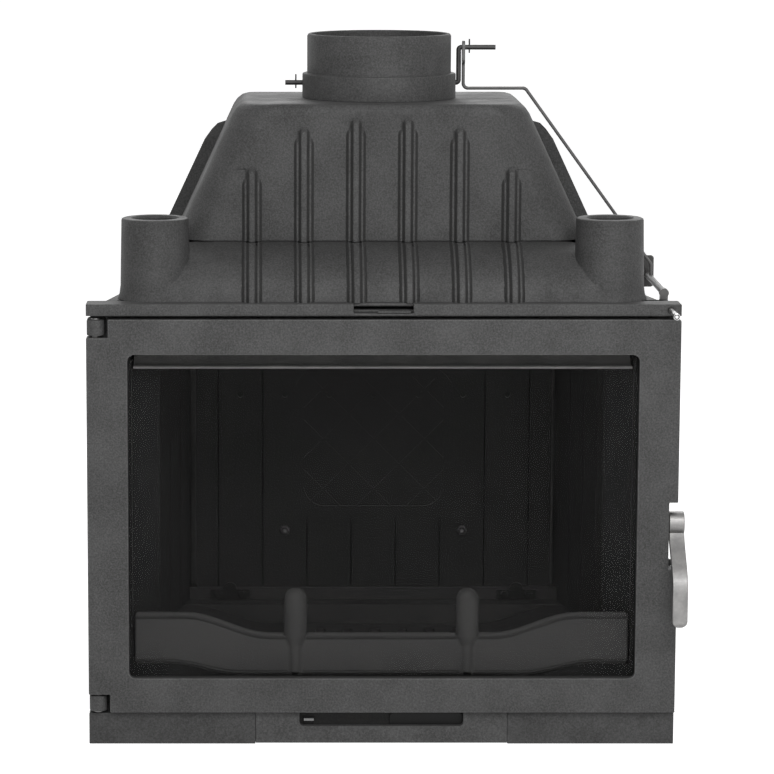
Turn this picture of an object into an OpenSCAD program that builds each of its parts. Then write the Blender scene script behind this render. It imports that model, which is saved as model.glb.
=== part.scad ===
// Cast-iron fireplace insert: a glazed door on a front frame, a tapered firebox
// on a shallow base with an ash drawer, a ribbed smoke dome and a round flue
// spigot with a rod-worked damper.
// x runs to the right, y to the back and z up, from the middle of the base's underside.

/* [Overall] */
// Width across the door and the front flange
insert_w = 700; // [640:5:760]
// Depth of the cast base, front to back
base_d = 420; // [405:5:450]
// Height of the cast base under the door
base_h = 38; // [36:1:44]
// How far the base stands out behind the rear wall
base_lip = 14; // [10:1:18]
// How far the door's face stands in front of the base
door_proud = 8; // [6:1:11]
// How far the firebox stands in from the door's edge, just behind the frame
body_inset = 32; // [28:1:38]
// Angle at which the side walls close in towards the back
body_taper = 11.4; // [9:0.2:13]

/* [Door] */
// Height of the door
door_h = 474; // [450:2:500]
// Depth of the door casting
door_t = 22; // [21:0.5:25]
// Thickness of the door's front skin
door_skin = 7; // [6:0.5:8]
// Width of the stiffening rims on the door's back
door_rim = 7; // [5:0.5:8]
// Width of the door frame at each side of the window
door_side_w = 48.5; // [46:0.5:54]
// Width of the door frame above the window
door_top_w = 42; // [40:0.5:48]
// Width of the door frame below the window
door_bottom_w = 46; // [42:0.5:50]
// Corner radius of the window
window_r = 8; // [5:0.5:12]
// Gap between the base and the door
door_play = 2; // [1.5:0.5:4]
// Gap between the door and the flange above it
flange_gap = 4; // [3:0.5:6]
// Space between the door's back and the frame, which the rope seal fills
seal_gap = 6; // [5.5:0.5:8]
// Radius of the rope seal
rope_r = 5; // [4.5:0.25:5.5]
// Thickness of the ceramic glass
glass_t = 4; // [3:0.5:5]
// How far the glass reaches behind the frame, past the window's edge
glass_lap = 11; // [9:0.5:12]
// Thickness of the flat gasket under the glass
gasket_t = 1.5; // [1:0.25:2]
// Thickness of the glass clips
clip_t = 2; // [1.5:0.25:2.5]

/* [Hinges and handle] */
// Radius of the hinge pins
hinge_pin_r = 4; // [3:0.25:5]
// Distance of the hinge axis from the door's left edge and face
hinge_inset = 11; // [10.5:0.25:12]
// Height of the hinge ears
ear_h = 19; // [16:1:24]
// Gap around a hinge ear in the door's corner
ear_gap = 4; // [3.5:0.25:5]
// Width of the handle
handle_w = 18; // [14:1:20]
// Length of the handle from its pivot to its lower end
handle_len = 116; // [100:2:130]
// How far the lower end of the handle swings clear of the door's face
handle_reach = 34; // [26:1:40]
// Height of the handle's pivot above the door's lower edge
handle_pivot_up = 229; // [210:1:260]
// Radius of the handle's pivot pin
handle_pin_r = 4; // [3:0.25:4.5]

/* [Frame and walls] */
// Thickness of the front flange above the door
flange_t = 14; // [11:0.5:18]
// Thickness of the cast frame behind the door
frame_t = 8; // [7:0.5:10]
// Thickness of the cast walls
wall_t = 7; // [6:0.5:8]
// How far the ribs stand out from the walls
wall_rib = 10; // [6:0.5:13]
// Half the width between the jambs at their inner edge
jamb_in = 32; // [24:1:38]
// Depth of the jambs behind the frame
jamb_d = 32; // [24:1:38]
// Height of the sill's low middle above the door's lower edge
sill_up = 40; // [38:0.5:43]
// Height that the sill gains towards its ends
sill_rise = 14; // [8:0.5:18]

/* [Firebox] */
// Thickness of the cast lining plates
lining_t = 10; // [8:0.5:12]
// Depth of the grooves between the planks of the linings
groove_d = 2; // [1:0.25:3]
// Distance between the grooves of the linings
plank_w = 57.1; // [52:0.5:60]
// Half the width of the fireback
fireback_half = 228.5; // [220:0.5:232]
// Height of the fireback
fireback_h = 350; // [330:5:360]
// Height that the hearth floor gains towards its sides
hearth_rise = 24; // [16:1:28]
// Height of the step at the back of the hearth floor
rear_step = 25; // [18:1:30]
// Distance between the bars of the grate
bar_pitch = 34.7; // [30:0.5:38]
// Width of the slots in the grate
slot_w = 14; // [10:0.5:18]
// Height of the low middle of the log retainer
retainer_h = 46; // [38:1:54]
// Height that the log retainer's upper edge gains towards its ends
retainer_rise = 25; // [16:1:32]
// Height of the retainer's two fingers above its low middle
finger_up = 57; // [40:1:66]

/* [Smoke dome] */
// Height of the shoulder above the front flange
shoulder_h = 64; // [56:1:72]
// How far the dome's front stands behind the door's face
dome_back = 93; // [86:1:104]
// Height of the dome above the shoulder
dome_h = 164; // [150:1:180]
// Half the width of the dome at its foot
dome_half = 248; // [236:1:254]
// Sideways slope of the dome and the rear hood, in mm per mm of height
dome_slope = 0.463; // [0.4:0.01:0.5]
// Height of the rear hood above the front flange
hood_h = 194; // [180:1:204]
// Distance between the ribs of the dome
rib_pitch = 62; // [56:0.5:66]
// Width of a rib's crest
rib_w = 7; // [5:0.5:9]
// How far the ribs stand out from the dome
rib_out = 7; // [4:0.5:9]
// Outer radius of the corner towers at their mouth
tower_r = 40; // [36:0.5:43]
// Radius of the socket in a tower
socket_r = 26; // [22:0.5:29]
// Height of the towers above the front flange
tower_h = 96; // [84:1:106]

/* [Flue and damper] */
// Outer radius of the flue spigot
spigot_r = 88; // [84:0.5:92]
// Height of the spigot above its collar
spigot_h = 48; // [42:1:58]
// Outer radius of the collar
collar_r = 93.8; // [93.5:0.1:98]
// Height of the collar
collar_h = 30; // [27:0.5:36]
// Wall of the spigot
spigot_wall = 5; // [4:0.5:6]
// Radius of the damper shaft
shaft_r = 3; // [2.5:0.25:3.5]
// Length of the damper's crank arm
crank_r = 43; // [38:0.5:46]
// Thickness of the damper blade
blade_t = 3; // [2:0.5:4]
// Radius of the pull rod
rod_r = 3; // [2.5:0.25:3.5]
// Radius of the link wire
wire_r = 2; // [1.5:0.25:2.5]

/* [Ash drawer and air slides] */
// Width of the ash drawer's front
drawer_w = 302; // [280:2:320]
// Thickness of the drawer's front
drawer_t = 9; // [8:0.5:10]
// Depth of the ash pan
pan_d = 290; // [260:5:310]
// Width of the air slot in the drawer's front
air_slot_w = 196; // [170:2:210]
// Height of the air slot's lower edge
air_slot_z = 21.8; // [19:0.2:25]
// Thickness of the air slides
slide_t = 2.5; // [2:0.25:3]
// Travel of the primary air slide
air_travel = 48; // [36:1:50]
// Travel of the secondary air slide
wash_travel = 24; // [16:1:26]

/* [Fits] */
// Radial play of a pin in its running bore
run_fit = 0.05; // [0.02:0.01:0.1]
// Gap between pieces that only lie against each other
seat = 0.3; // [0.2:0.05:0.4]
// Gap between pieces that slide past each other
slide_fit = 0.5; // [0.4:0.05:0.8]

/* [Hidden] */

// Colours
iron = [0.16, 0.16, 0.165];
dark_iron = [0.1, 0.1, 0.1];
steel = [0.35, 0.35, 0.36];
satin = [0.72, 0.71, 0.69];
bright = [0.85, 0.85, 0.86];
glass_tint = [0.75, 0.8, 0.8, 0.3];
rope_grey = [0.55, 0.54, 0.52];

// Facet counts of large, middling and small rounds
fine = 96;
mid = 48;
small = 32;
// How far a cut runs past the face that it opens
cut = 2;
// Thickness of the slices that a hull joins
slice_t = 0.5;

// Main planes, front to back
half_w = insert_w / 2;
base_front_y = -base_d / 2;
door_y = base_front_y - door_proud;
door_back_y = door_y + door_t;
frame_y = door_back_y + seal_gap;
frame_back_y = frame_y + frame_t;
rear_y = base_d / 2 - base_lip;

// Main levels, from the floor up
door_z0 = base_h + door_play;
door_z1 = door_z0 + door_h;
flange_z = door_z1 + flange_gap;
deck_z = flange_z + flange_t;
window_half = half_w - door_side_w;
window_z0 = door_z0 + door_bottom_w;
window_z1 = door_z1 - door_top_w;

// Plan of the firebox: half its width at a depth, outside the walls
body_half0 = half_w - body_inset;
function body_half(y) = body_half0 - (y - frame_back_y) * tan(body_taper);
wall_x = wall_t / cos(body_taper);

// Mirrors the right half of an outline to the left, as one ring of points
function both_sides(points) = concat(points,
    [for (i = [len(points) - 1:-1:0]) [-points[i].x, points[i].y]]);

// A smooth step from 0 to 1
function smooth(t) = let (u = min(max(t, 0), 1)) u * u * (3 - 2 * u);

// The wave that the sill, the hearth floor and the log retainer share: low in the
// middle, rising between x0 and x1 on each side
wave_steps = 10;
function wave(x, low, rise, x0, x1) = low + rise * smooth((abs(x) - x0) / (x1 - x0));
function wave_half(half, low, rise, x0, x1) = concat(
    [for (i = [0:wave_steps]) let (x = x0 + (x1 - x0) * i / wave_steps) [x, wave(x, low, rise, x0, x1)]],
    [[half, low + rise]]);
function wave_line(half, low, rise, x0, x1) = let (right = wave_half(half, low, rise, x0, x1))
    concat([for (i = [len(right) - 1:-1:0]) [-right[i].x, right[i].y]], right);
function reversed(points) = [for (i = [len(points) - 1:-1:0]) points[i]];

// Extrudes an outline in x and z to a depth d, from y0 back
module along_y(y0, d) {
    translate([0, y0 + d, 0]) rotate([90, 0, 0]) linear_extrude(d) children();
}

// Extrudes an outline in y and z to a width d, from x0 to the right
module along_x(x0, d) {
    translate([x0, 0, 0]) rotate([90, 0, 90]) linear_extrude(d) children();
}

// A rectangle with round corners, made of true arcs
module round_rect(x0, y0, x1, y1, r) {
    translate([x0 + r, y0]) square([x1 - x0 - 2 * r, y1 - y0]);
    translate([x0, y0 + r]) square([x1 - x0, y1 - y0 - 2 * r]);
    for (x = [x0 + r, x1 - r], y = [y0 + r, y1 - r]) translate([x, y]) circle(r, $fn = mid);
}

// Runs its children once as drawn and once mirrored to the left
module pair() {
    children();
    mirror([1, 0, 0]) children();
}

// The head of a hexagon bolt on its washer, pointing up from the face that it holds
washer_share = 2.2;
washer_h_share = 0.35;
hex_share = 1.85;
hex_h_share = 1.2;
module bolt_head(r) {
    cylinder(r = r * washer_share, h = r * washer_h_share, $fn = small);
    translate([0, 0, r * washer_h_share]) cylinder(r = r * hex_share, h = r * hex_h_share, $fn = 6);
}

// Sizes of the ash drawer that the base's bay follows
register_t = 2;
slide_y = base_front_y + drawer_t + slide_fit;
register_y = slide_y + slide_t + slide_fit;
pan_y = register_y + register_t;
pan_back_y = pan_y + pan_d;
bay_half = drawer_w / 2;
pan_play = 4;
bay_back_y = pan_back_y + pan_play;
base_floor_t = 6;
base_rim = 2 * wall_t;
base_side = wall_t;

// The cast base: a shallow tray with a full-width front apron and the drawer's bay
module base_plinth() {
    outer = [
        [half_w, base_front_y],
        [half_w, frame_back_y],
        [body_half(frame_back_y) + base_side, frame_back_y],
        [body_half(base_d / 2) + base_side, base_d / 2]
    ];
    cell = [
        [bay_half + wall_t, base_front_y + wall_t],
        [half_w - wall_t, base_front_y + wall_t],
        [half_w - wall_t, frame_back_y - base_rim],
        [body_half(frame_back_y) + base_side - base_rim, frame_back_y - base_rim / 2],
        [body_half(base_d / 2) + base_side - base_rim, base_d / 2 - base_rim],
        [bay_half + wall_t, base_d / 2 - base_rim]
    ];
    color(iron) difference() {
        linear_extrude(base_h) polygon(both_sides(outer));
        translate([0, 0, base_floor_t]) pair() linear_extrude(base_h) polygon(cell);
        translate([-bay_half, bay_back_y + wall_t, base_floor_t])
            cube([2 * bay_half, base_d / 2 - base_rim - bay_back_y - wall_t, base_h]);
        translate([-bay_half, base_front_y - cut, base_floor_t])
            cube([2 * bay_half, bay_back_y - base_front_y + cut, base_h]);
        translate([-bay_half, base_front_y - cut, -cut])
            cube([2 * bay_half, drawer_t + cut + slide_fit, base_h]);
    }
}

// Hinge ears of the front frame, round about the pins
hinge_x = -half_w + hinge_inset;
hinge_y = door_y + hinge_inset;
ear_edge = 0.5;
ear_r = hinge_inset - ear_edge;
ear_low_z = door_z0 + door_play / 2;
ear_high_z = door_z1 - door_play / 2 - ear_h;
module hinge_ear(z) {
    translate([0, 0, z]) {
        translate([hinge_x, hinge_y, 0]) cylinder(r = ear_r, h = ear_h, $fn = mid);
        translate([hinge_x - ear_r, hinge_y, 0]) cube([2 * ear_r, frame_y + frame_t / 2 - hinge_y, ear_h]);
    }
}

// Sizes of the frame's opening, jambs and sill
frame_edge = 4;
opening_in = 3.5;
opening_half = window_half - opening_in;
sill_z = door_z0 + sill_up;
sill_x0 = window_half * 0.56;
sill_x1 = window_half * 0.84;
hearth_drop = 4;
hearth_z = sill_z - hearth_drop;
hearth_x0 = window_half * 0.445;
hearth_x1 = window_half * 0.777;
hearth_top_z = hearth_z + hearth_rise;
wash_lip_h = 20;
wash_lip_z = window_z1 - wash_lip_h;
jamb_t = 5;

// Sizes of the box over the door that feeds air down the glass
wash_half = 90;
wash_floor_t = 3;
wash_roof_t = 4;
wash_pocket_z = flange_z + wash_floor_t;
wash_pocket_h = flange_t - wash_floor_t - wash_roof_t;
wash_set = 12;
wash_front_y = door_y + wash_set;
wash_box_d = 20;
wash_back_y = frame_back_y + wash_box_d;
wash_wall = 3;
wash_hole_w = 22;
wash_hole_d = 12;
wash_hole_set = 4;
wash_hole_y = frame_back_y + wash_hole_set;
wash_pitch = 48;
notch_half = 35;
slot_half = 24;
notch_d = 12;

// Places of the pull rod and of the handle's pivot
rod_inset = 13;
rod_x = half_w - rod_inset;
rod_z = flange_z + flange_t / 2;
handle_out = 8;
handle_x0 = half_w - handle_w + handle_out;
pivot_in = 12;
pivot_y = door_y + pivot_in;
pivot_z = door_z0 + handle_pivot_up;
finger_down = 9;
finger_t = 10;
finger_back = 38;
finger_w = 8;
roller_r = 5;
roller_set = 8;
roller_y = frame_back_y + roller_set;
roller_z = pivot_z - finger_down + finger_t / 2 + slide_fit + roller_r;
keeper_gap = 3;
keeper_gap_x = handle_x0 - keeper_gap;

// The fixed frame that the door closes against, with the flange over it
module front_frame() {
    sill = wave_line(opening_half, sill_z, sill_rise, sill_x0, sill_x1);
    jamb = [
        [opening_half, frame_back_y - frame_t / 2],
        [opening_half, frame_back_y],
        [opening_half - jamb_in, frame_back_y + jamb_d],
        [opening_half - jamb_in + jamb_t, frame_back_y + jamb_d],
        [opening_half + jamb_t, frame_back_y],
        [opening_half + jamb_t, frame_back_y - frame_t / 2]
    ];
    color(iron) difference() {
        union() {
            along_y(frame_y, frame_t) translate([-half_w + frame_edge, base_h])
                square([insert_w - 2 * frame_edge, flange_z + cut - base_h]);
            translate([-half_w, door_y, flange_z]) cube([insert_w, frame_back_y - door_y, flange_t]);
            translate([-wash_half - wash_wall, frame_back_y - cut, flange_z])
                cube([2 * (wash_half + wash_wall), wash_back_y + wash_wall + cut - frame_back_y, flange_t]);
            hinge_ear(ear_low_z);
            hinge_ear(ear_high_z);
            pair() translate([0, 0, hearth_top_z + seat])
                linear_extrude(wash_lip_z - 2 * seat - hearth_top_z) polygon(jamb);
        }
        along_y(frame_y - cut, frame_t + 2 * cut)
            polygon(concat(sill, [[opening_half, window_z1], [-opening_half, window_z1]]));
        // Bores for the hinge pins
        for (z = [ear_low_z, ear_high_z]) translate([hinge_x, hinge_y, z - cut])
            cylinder(r = hinge_pin_r + run_fit, h = ear_h + 2 * cut, $fn = mid);
        // Hole for the pull rod
        translate([rod_x, frame_back_y + cut, rod_z]) rotate([90, 0, 0])
            cylinder(r = rod_r + run_fit, h = frame_back_y - door_y + 2 * cut, $fn = mid);
        // Way for the latch's finger past the frame's right edge
        translate([keeper_gap_x, frame_y - cut, pivot_z - finger_back - finger_t])
            cube([half_w, frame_t + 2 * cut, 2 * finger_back + finger_t]);
        // Notch, slot and pocket for the secondary air
        translate([-notch_half, door_y - cut, wash_pocket_z]) cube([2 * notch_half, notch_d + cut, flange_t]);
        translate([-slot_half, door_y, wash_pocket_z])
            cube([2 * slot_half, wash_front_y - door_y + cut, wash_pocket_h]);
        translate([-wash_half, wash_front_y, wash_pocket_z])
            cube([2 * wash_half, wash_back_y - wash_front_y, wash_pocket_h]);
        for (i = [-1:1]) translate([i * wash_pitch - wash_hole_w / 2, wash_hole_y, flange_z - cut])
            cube([wash_hole_w, wash_hole_d, wash_floor_t + 2 * cut]);
    }
}

// A cast side wall, ribbed outside, at the right
wall_ribs = 6;
wall_rib_t = 7;
wall_flange_t = 8;
wall_y0 = frame_back_y;
wall_y1 = rear_y - wall_t;
module side_wall() {
    plate = [
        [body_half(wall_y0), wall_y0],
        [body_half(wall_y1), wall_y1],
        [body_half(wall_y1) - wall_x, wall_y1],
        [body_half(wall_y0) - wall_x, wall_y0]
    ];
    band = [
        [body_half(wall_y0) + wall_rib, wall_y0],
        [body_half(wall_y1) + wall_rib, wall_y1],
        [body_half(wall_y1) - wall_x / 2, wall_y1],
        [body_half(wall_y0) - wall_x / 2, wall_y0]
    ];
    color(iron) {
        translate([0, 0, base_h]) linear_extrude(deck_z - base_h) polygon(plate);
        for (z = [base_h, deck_z - wall_flange_t]) translate([0, 0, z])
            linear_extrude(wall_flange_t) polygon(band);
        for (i = [0:wall_ribs]) {
            y = wall_y0 + (wall_y1 - wall_y0 - wall_rib_t) * i / wall_ribs;
            reach = i == 0 || i == wall_ribs ? wall_rib : wall_rib * 0.7;
            translate([0, 0, base_h]) linear_extrude(deck_z - base_h) polygon([
                [body_half(y) - wall_x / 2, y],
                [body_half(y) + reach, y],
                [body_half(y + wall_rib_t) + reach, y + wall_rib_t],
                [body_half(y + wall_rib_t) - wall_x / 2, y + wall_rib_t]
            ]);
        }
    }
}
module right_wall() side_wall();
module left_wall() mirror([1, 0, 0]) side_wall();

// The cast rear wall, ribbed outside
rear_ribs = 3;
module rear_wall() {
    half = body_half(rear_y) + wall_rib;
    color(iron) {
        translate([-half, wall_y1, base_h]) cube([2 * half, wall_t, deck_z - base_h]);
        for (i = [-rear_ribs:rear_ribs]) translate([i * rib_pitch - wall_rib_t / 2, rear_y - wall_t / 2, base_h])
            cube([wall_rib_t, wall_t / 2 + wall_rib, deck_z - base_h]);
        for (z = [base_h, deck_z - wall_flange_t]) translate([-half, rear_y - wall_t / 2, z])
            cube([2 * half, wall_t / 2 + wall_rib, wall_flange_t]);
    }
}

// The bolts that hold the side walls to the frame and the rear wall
wall_bolt_r = 4;
wall_bolt_shares = [0.15, 0.5, 0.85];
module wall_bolts() {
    color(steel) for (s = wall_bolt_shares) pair()
        translate([body_half(rear_y) + wall_rib / 3, rear_y, base_h + (deck_z - base_h) * s])
            rotate([-90, 0, 0]) bolt_head(wall_bolt_r);
}

// The hearth floor: a trough with a stepped ledge at the back and walls down to the base
hearth_t = 7;
hearth_y0 = frame_back_y + seat;
hearth_y1 = wall_y1 - seat;
fireback_set = 355;
fireback_y = door_y + fireback_set;
ledge_d = 30;
step_y = fireback_y - ledge_d;
ledge_z = hearth_z + rear_step;
fireback_up = 16;
fireback_z = ledge_z + fireback_up;
grate_half = 3.4 * bar_pitch;
grate_lap = 6;
grate_set = 115;
grate_y0 = base_front_y + grate_set;
grate_back = 10;
grate_y1 = bay_back_y - grate_back;
module hearth_plan(y0, y1) {
    polygon(both_sides([
        [body_half(y0) - wall_x - seat, y0],
        [body_half(y1) - wall_x - seat, y1]
    ]));
}
module hearth_floor() {
    top = wave_line(body_half0, hearth_z, hearth_rise, hearth_x0, hearth_x1);
    under = wave_line(body_half0, hearth_z - hearth_t, hearth_rise, hearth_x0, hearth_x1);
    color(dark_iron) difference() {
        union() {
            intersection() {
                along_y(hearth_y0, hearth_y1 - hearth_y0) polygon(concat(top, reversed(under)));
                translate([0, 0, base_h]) linear_extrude(deck_z) hearth_plan(hearth_y0, hearth_y1);
            }
            translate([0, 0, hearth_z - hearth_t]) linear_extrude(ledge_z - hearth_z + hearth_t)
                hearth_plan(step_y, hearth_y1);
            translate([0, 0, hearth_z]) linear_extrude(fireback_z - hearth_z)
                hearth_plan(fireback_y, fireback_y + 2 * lining_t);
            pair() translate([bay_half, hearth_y0, base_h + seat])
                cube([wall_t, step_y + wall_t - hearth_y0, hearth_z - base_h - seat]);
            translate([-bay_half, bay_back_y, base_h + seat])
                cube([2 * bay_half, wall_t, hearth_z - base_h - seat]);
        }
        translate([-grate_half - grate_lap, grate_y0 - grate_lap, hearth_z - hearth_t / 2])
            cube([2 * (grate_half + grate_lap), grate_y1 - grate_y0 + 2 * grate_lap, hearth_t]);
        translate([-grate_half, grate_y0, hearth_z - hearth_t - cut])
            cube([2 * grate_half, grate_y1 - grate_y0, hearth_t + 2 * cut]);
    }
}

// The cast grate, slotted in two rows
module grate() {
    bars = 3;
    row_gap = 10;
    row_d = (grate_y1 - grate_y0 - 3 * row_gap) / 2;
    color(dark_iron) difference() {
        union() {
            translate([-grate_half - grate_lap + seat, grate_y0 - grate_lap + seat, hearth_z - hearth_t / 2])
                cube([2 * (grate_half + grate_lap - seat), grate_y1 - grate_y0 + 2 * (grate_lap - seat), hearth_t / 2]);
            translate([-grate_half + seat, grate_y0 + seat, hearth_z - hearth_t])
                cube([2 * (grate_half - seat), grate_y1 - grate_y0 - 2 * seat, hearth_t * 0.75]);
        }
        for (i = [-bars:bars], j = [0, 1]) translate([0, 0, hearth_z - hearth_t - cut])
            linear_extrude(hearth_t + 2 * cut) round_rect(
                i * bar_pitch - slot_w / 2, grate_y0 + row_gap + j * (row_d + row_gap),
                i * bar_pitch + slot_w / 2, grate_y0 + row_gap + j * (row_d + row_gap) + row_d, slot_w / 2.2);
    }
}

// The log retainer: a wavy plate on the sill with two fingers and two feet behind
retainer_t = 12;
retainer_y = frame_back_y - retainer_t;
retainer_gap = 3;
retainer_z = sill_z + retainer_gap;
retainer_side = 2.5;
retainer_edge = 2.5;
finger_x = 103;
finger_r = 13.5;
finger_rib_r = 9;
foot_x = 60;
foot_w = 24;
foot_t = 8;
module retainer_outline(drop) {
    half = opening_half - retainer_side;
    top = wave_line(half, retainer_z + retainer_h - drop, retainer_rise, hearth_x0, hearth_x1);
    under = wave_line(half, retainer_z + drop / 2, sill_rise, sill_x0, sill_x1);
    polygon(concat(top, reversed(under)));
}
module log_retainer() {
    top_z = retainer_z + retainer_h;
    color(dark_iron) {
        along_y(retainer_y + retainer_edge, retainer_t - 2 * retainer_edge) retainer_outline(0);
        along_y(retainer_y + retainer_edge / 3, retainer_t - 2 * retainer_edge / 3) retainer_outline(retainer_edge / 3);
        along_y(retainer_y, retainer_t) retainer_outline(retainer_edge);
        pair() {
            translate([finger_x, retainer_y + retainer_t / 2, 0]) {
                translate([0, 0, retainer_z]) cylinder(r = finger_rib_r, h = retainer_h + cut, $fn = mid);
                translate([0, 0, top_z - finger_r]) cylinder(r1 = finger_rib_r, r2 = finger_r, h = finger_r, $fn = mid);
                translate([0, 0, top_z]) cylinder(r = finger_r, h = finger_up - finger_r, $fn = mid);
                translate([0, 0, top_z + finger_up - finger_r]) intersection() {
                    sphere(r = finger_r, $fn = mid);
                    cylinder(r = finger_r, h = finger_r, $fn = mid);
                }
            }
            along_x(foot_x - foot_w / 2, foot_w) polygon([
                [frame_back_y - retainer_edge, retainer_z + 2 * retainer_edge],
                [frame_back_y, retainer_z + 2 * retainer_edge],
                [frame_back_y, hearth_z + seat],
                [frame_back_y + foot_t, hearth_z + seat],
                [frame_back_y + foot_t, retainer_z + retainer_h / 2],
                [frame_back_y - retainer_edge, retainer_z + retainer_h / 2]
            ]);
        }
    }
}

// The fireback: cast planks with a plain trellis panel in the middle
plank_groove = 2.4;
back_hole_r = 3.5;
back_hole_z = fireback_z + 0.72 * fireback_h;
panel_half = 1.8 * plank_w;
panel_z0 = fireback_z + 0.27 * fireback_h;
panel_z1 = fireback_z + 0.83 * fireback_h;
panel_r = 40;
panel_border = 13;
panel_out = 2.5;
trellis_w = 4;
trellis_out = 1.6;
trellis_pitch = 46;
back_bolt_x = 2 * plank_w;
back_bolt_z = fireback_z + 0.215 * fireback_h;
back_bolt_r = 3;
module fireback() {
    front = fireback_y;
    color(dark_iron) difference() {
        union() {
            along_y(front, lining_t) round_rect(-fireback_half, fireback_z + seat, fireback_half,
                fireback_z + fireback_h, 2 * groove_d);
            along_y(front - panel_out, panel_out + groove_d / 2) difference() {
                round_rect(-panel_half, panel_z0, panel_half, panel_z1, panel_r);
                round_rect(-panel_half + panel_border, panel_z0 + panel_border,
                    panel_half - panel_border, panel_z1 - panel_border, panel_r - panel_border);
            }
            along_y(front - trellis_out, trellis_out + groove_d / 2) intersection() {
                round_rect(-panel_half + panel_border / 2, panel_z0 + panel_border / 2,
                    panel_half - panel_border / 2, panel_z1 - panel_border / 2, panel_r - panel_border / 2);
                translate([0, (panel_z0 + panel_z1) / 2]) for (turn = [45, -45], i = [-3:3]) rotate(turn)
                    translate([i * trellis_pitch - trellis_w / 2, -2 * panel_half]) square([trellis_w, 4 * panel_half]);
            }
        }
        // Grooves between the planks, full height outside the panel and below it
        for (i = [0:3]) pair() {
            x = (i + 0.5) * plank_w;
            h = i < 2 ? panel_z0 - fireback_z - groove_d : fireback_h + 2 * cut;
            translate([x - plank_groove / 2, front - cut, fireback_z - (i < 2 ? cut : 0)])
                cube([plank_groove, cut + groove_d, h + (i < 2 ? cut : 0)]);
        }
        // Air holes near the top
        for (i = [-3:3]) translate([i * plank_w, front + groove_d * 2, back_hole_z]) rotate([90, 0, 0])
            cylinder(r = back_hole_r, h = lining_t, $fn = small);
    }
}

// The bolts and clamps that hold the fireback
module fireback_bolts() {
    color(steel) pair() translate([back_bolt_x, fireback_y, back_bolt_z]) rotate([90, 0, 0])
        bolt_head(back_bolt_r);
}
clamp_x = 185;
clamp_half = 26;
clamp_t = 4;
clamp_tongue_r = 9;
module fireback_clamps() {
    h = fireback_z - ledge_z;
    color(dark_iron) pair() translate([clamp_x, 0, 0]) {
        along_y(fireback_y - clamp_t, clamp_t) translate([-clamp_half, ledge_z]) {
            round_rect(0, 0, 2 * clamp_half, h - groove_d, groove_d);
            translate([clamp_half, h - groove_d]) circle(clamp_tongue_r, $fn = mid);
        }
        for (x = [-1, 1]) translate([x * clamp_half * 0.6, fireback_y - clamp_t, ledge_z + h / 2])
            rotate([90, 0, 0]) bolt_head(back_bolt_r * 0.8);
    }
}

// A cast side lining with planked face and a foot, at the right
lining_y0 = frame_back_y + jamb_d + groove_d;
lining_y1 = fireback_y - clamp_t * 2;
lining_gap = 1;
lining_top_z = window_z1 - 2 * window_r;
lining_z0 = max(hearth_top_z, ledge_z) + seat;
function lining_out(y) = body_half(y) - wall_x - lining_gap;
module side_lining() {
    color(dark_iron) translate([0, 0, lining_z0]) difference() {
        linear_extrude(lining_top_z - lining_z0) polygon([
            [lining_out(lining_y0), lining_y0],
            [lining_out(lining_y1), lining_y1],
            [lining_out(lining_y1) - lining_t, lining_y1],
            [lining_out(lining_y0) - lining_t, lining_y0]
        ]);
        for (i = [1:4]) {
            y = lining_y0 + i * plank_w;
            translate([lining_out(y) - lining_t - groove_d, y - plank_groove / 2, -cut])
                cube([2 * groove_d, plank_groove, deck_z]);
        }
    }
}
module right_lining() side_lining();
module left_lining() mirror([1, 0, 0]) side_lining();

// The baffle that lies on the linings and turns the smoke forward
baffle_t = 8;
baffle_lip = 14;
module baffle_plate() {
    z = lining_top_z + seat;
    y0 = lining_y0 + 2 * plank_w / 3;
    y1 = fireback_y - seat;
    inset = lining_gap + lining_t * 0.3;
    color(dark_iron) translate([0, 0, z]) {
        linear_extrude(baffle_t) polygon(both_sides([
            [lining_out(y0) - inset, y0],
            [lining_out(y1) - inset, y1]
        ]));
        linear_extrude(baffle_t + baffle_lip) polygon(both_sides([
            [lining_out(y0) - inset, y0],
            [lining_out(y0 + baffle_t) - inset, y0 + baffle_t]
        ]));
    }
}

// The sheet that turns the upper air down the glass
deflector_t = 3;
deflector_r = door_top_w / 2;
deflector_y = wash_back_y + wash_wall;
module air_wash_deflector() {
    bend_z = wash_lip_z + deflector_r;
    lip_y = frame_y - deflector_t;
    half = opening_half - retainer_side;
    color(dark_iron) along_x(-half, 2 * half) {
        translate([deflector_y - deflector_t, bend_z]) square([deflector_t, flange_z - seat - bend_z]);
        translate([deflector_y - deflector_r, bend_z]) intersection() {
            difference() {
                circle(deflector_r, $fn = fine);
                circle(deflector_r - deflector_t, $fn = fine);
            }
            translate([0, -deflector_r]) square(deflector_r);
        }
        translate([lip_y, wash_lip_z]) square([deflector_y - deflector_r - lip_y, deflector_t]);
        translate([lip_y, wash_lip_z + deflector_t / 2]) circle(deflector_t / 2, $fn = small);
    }
}

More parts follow.
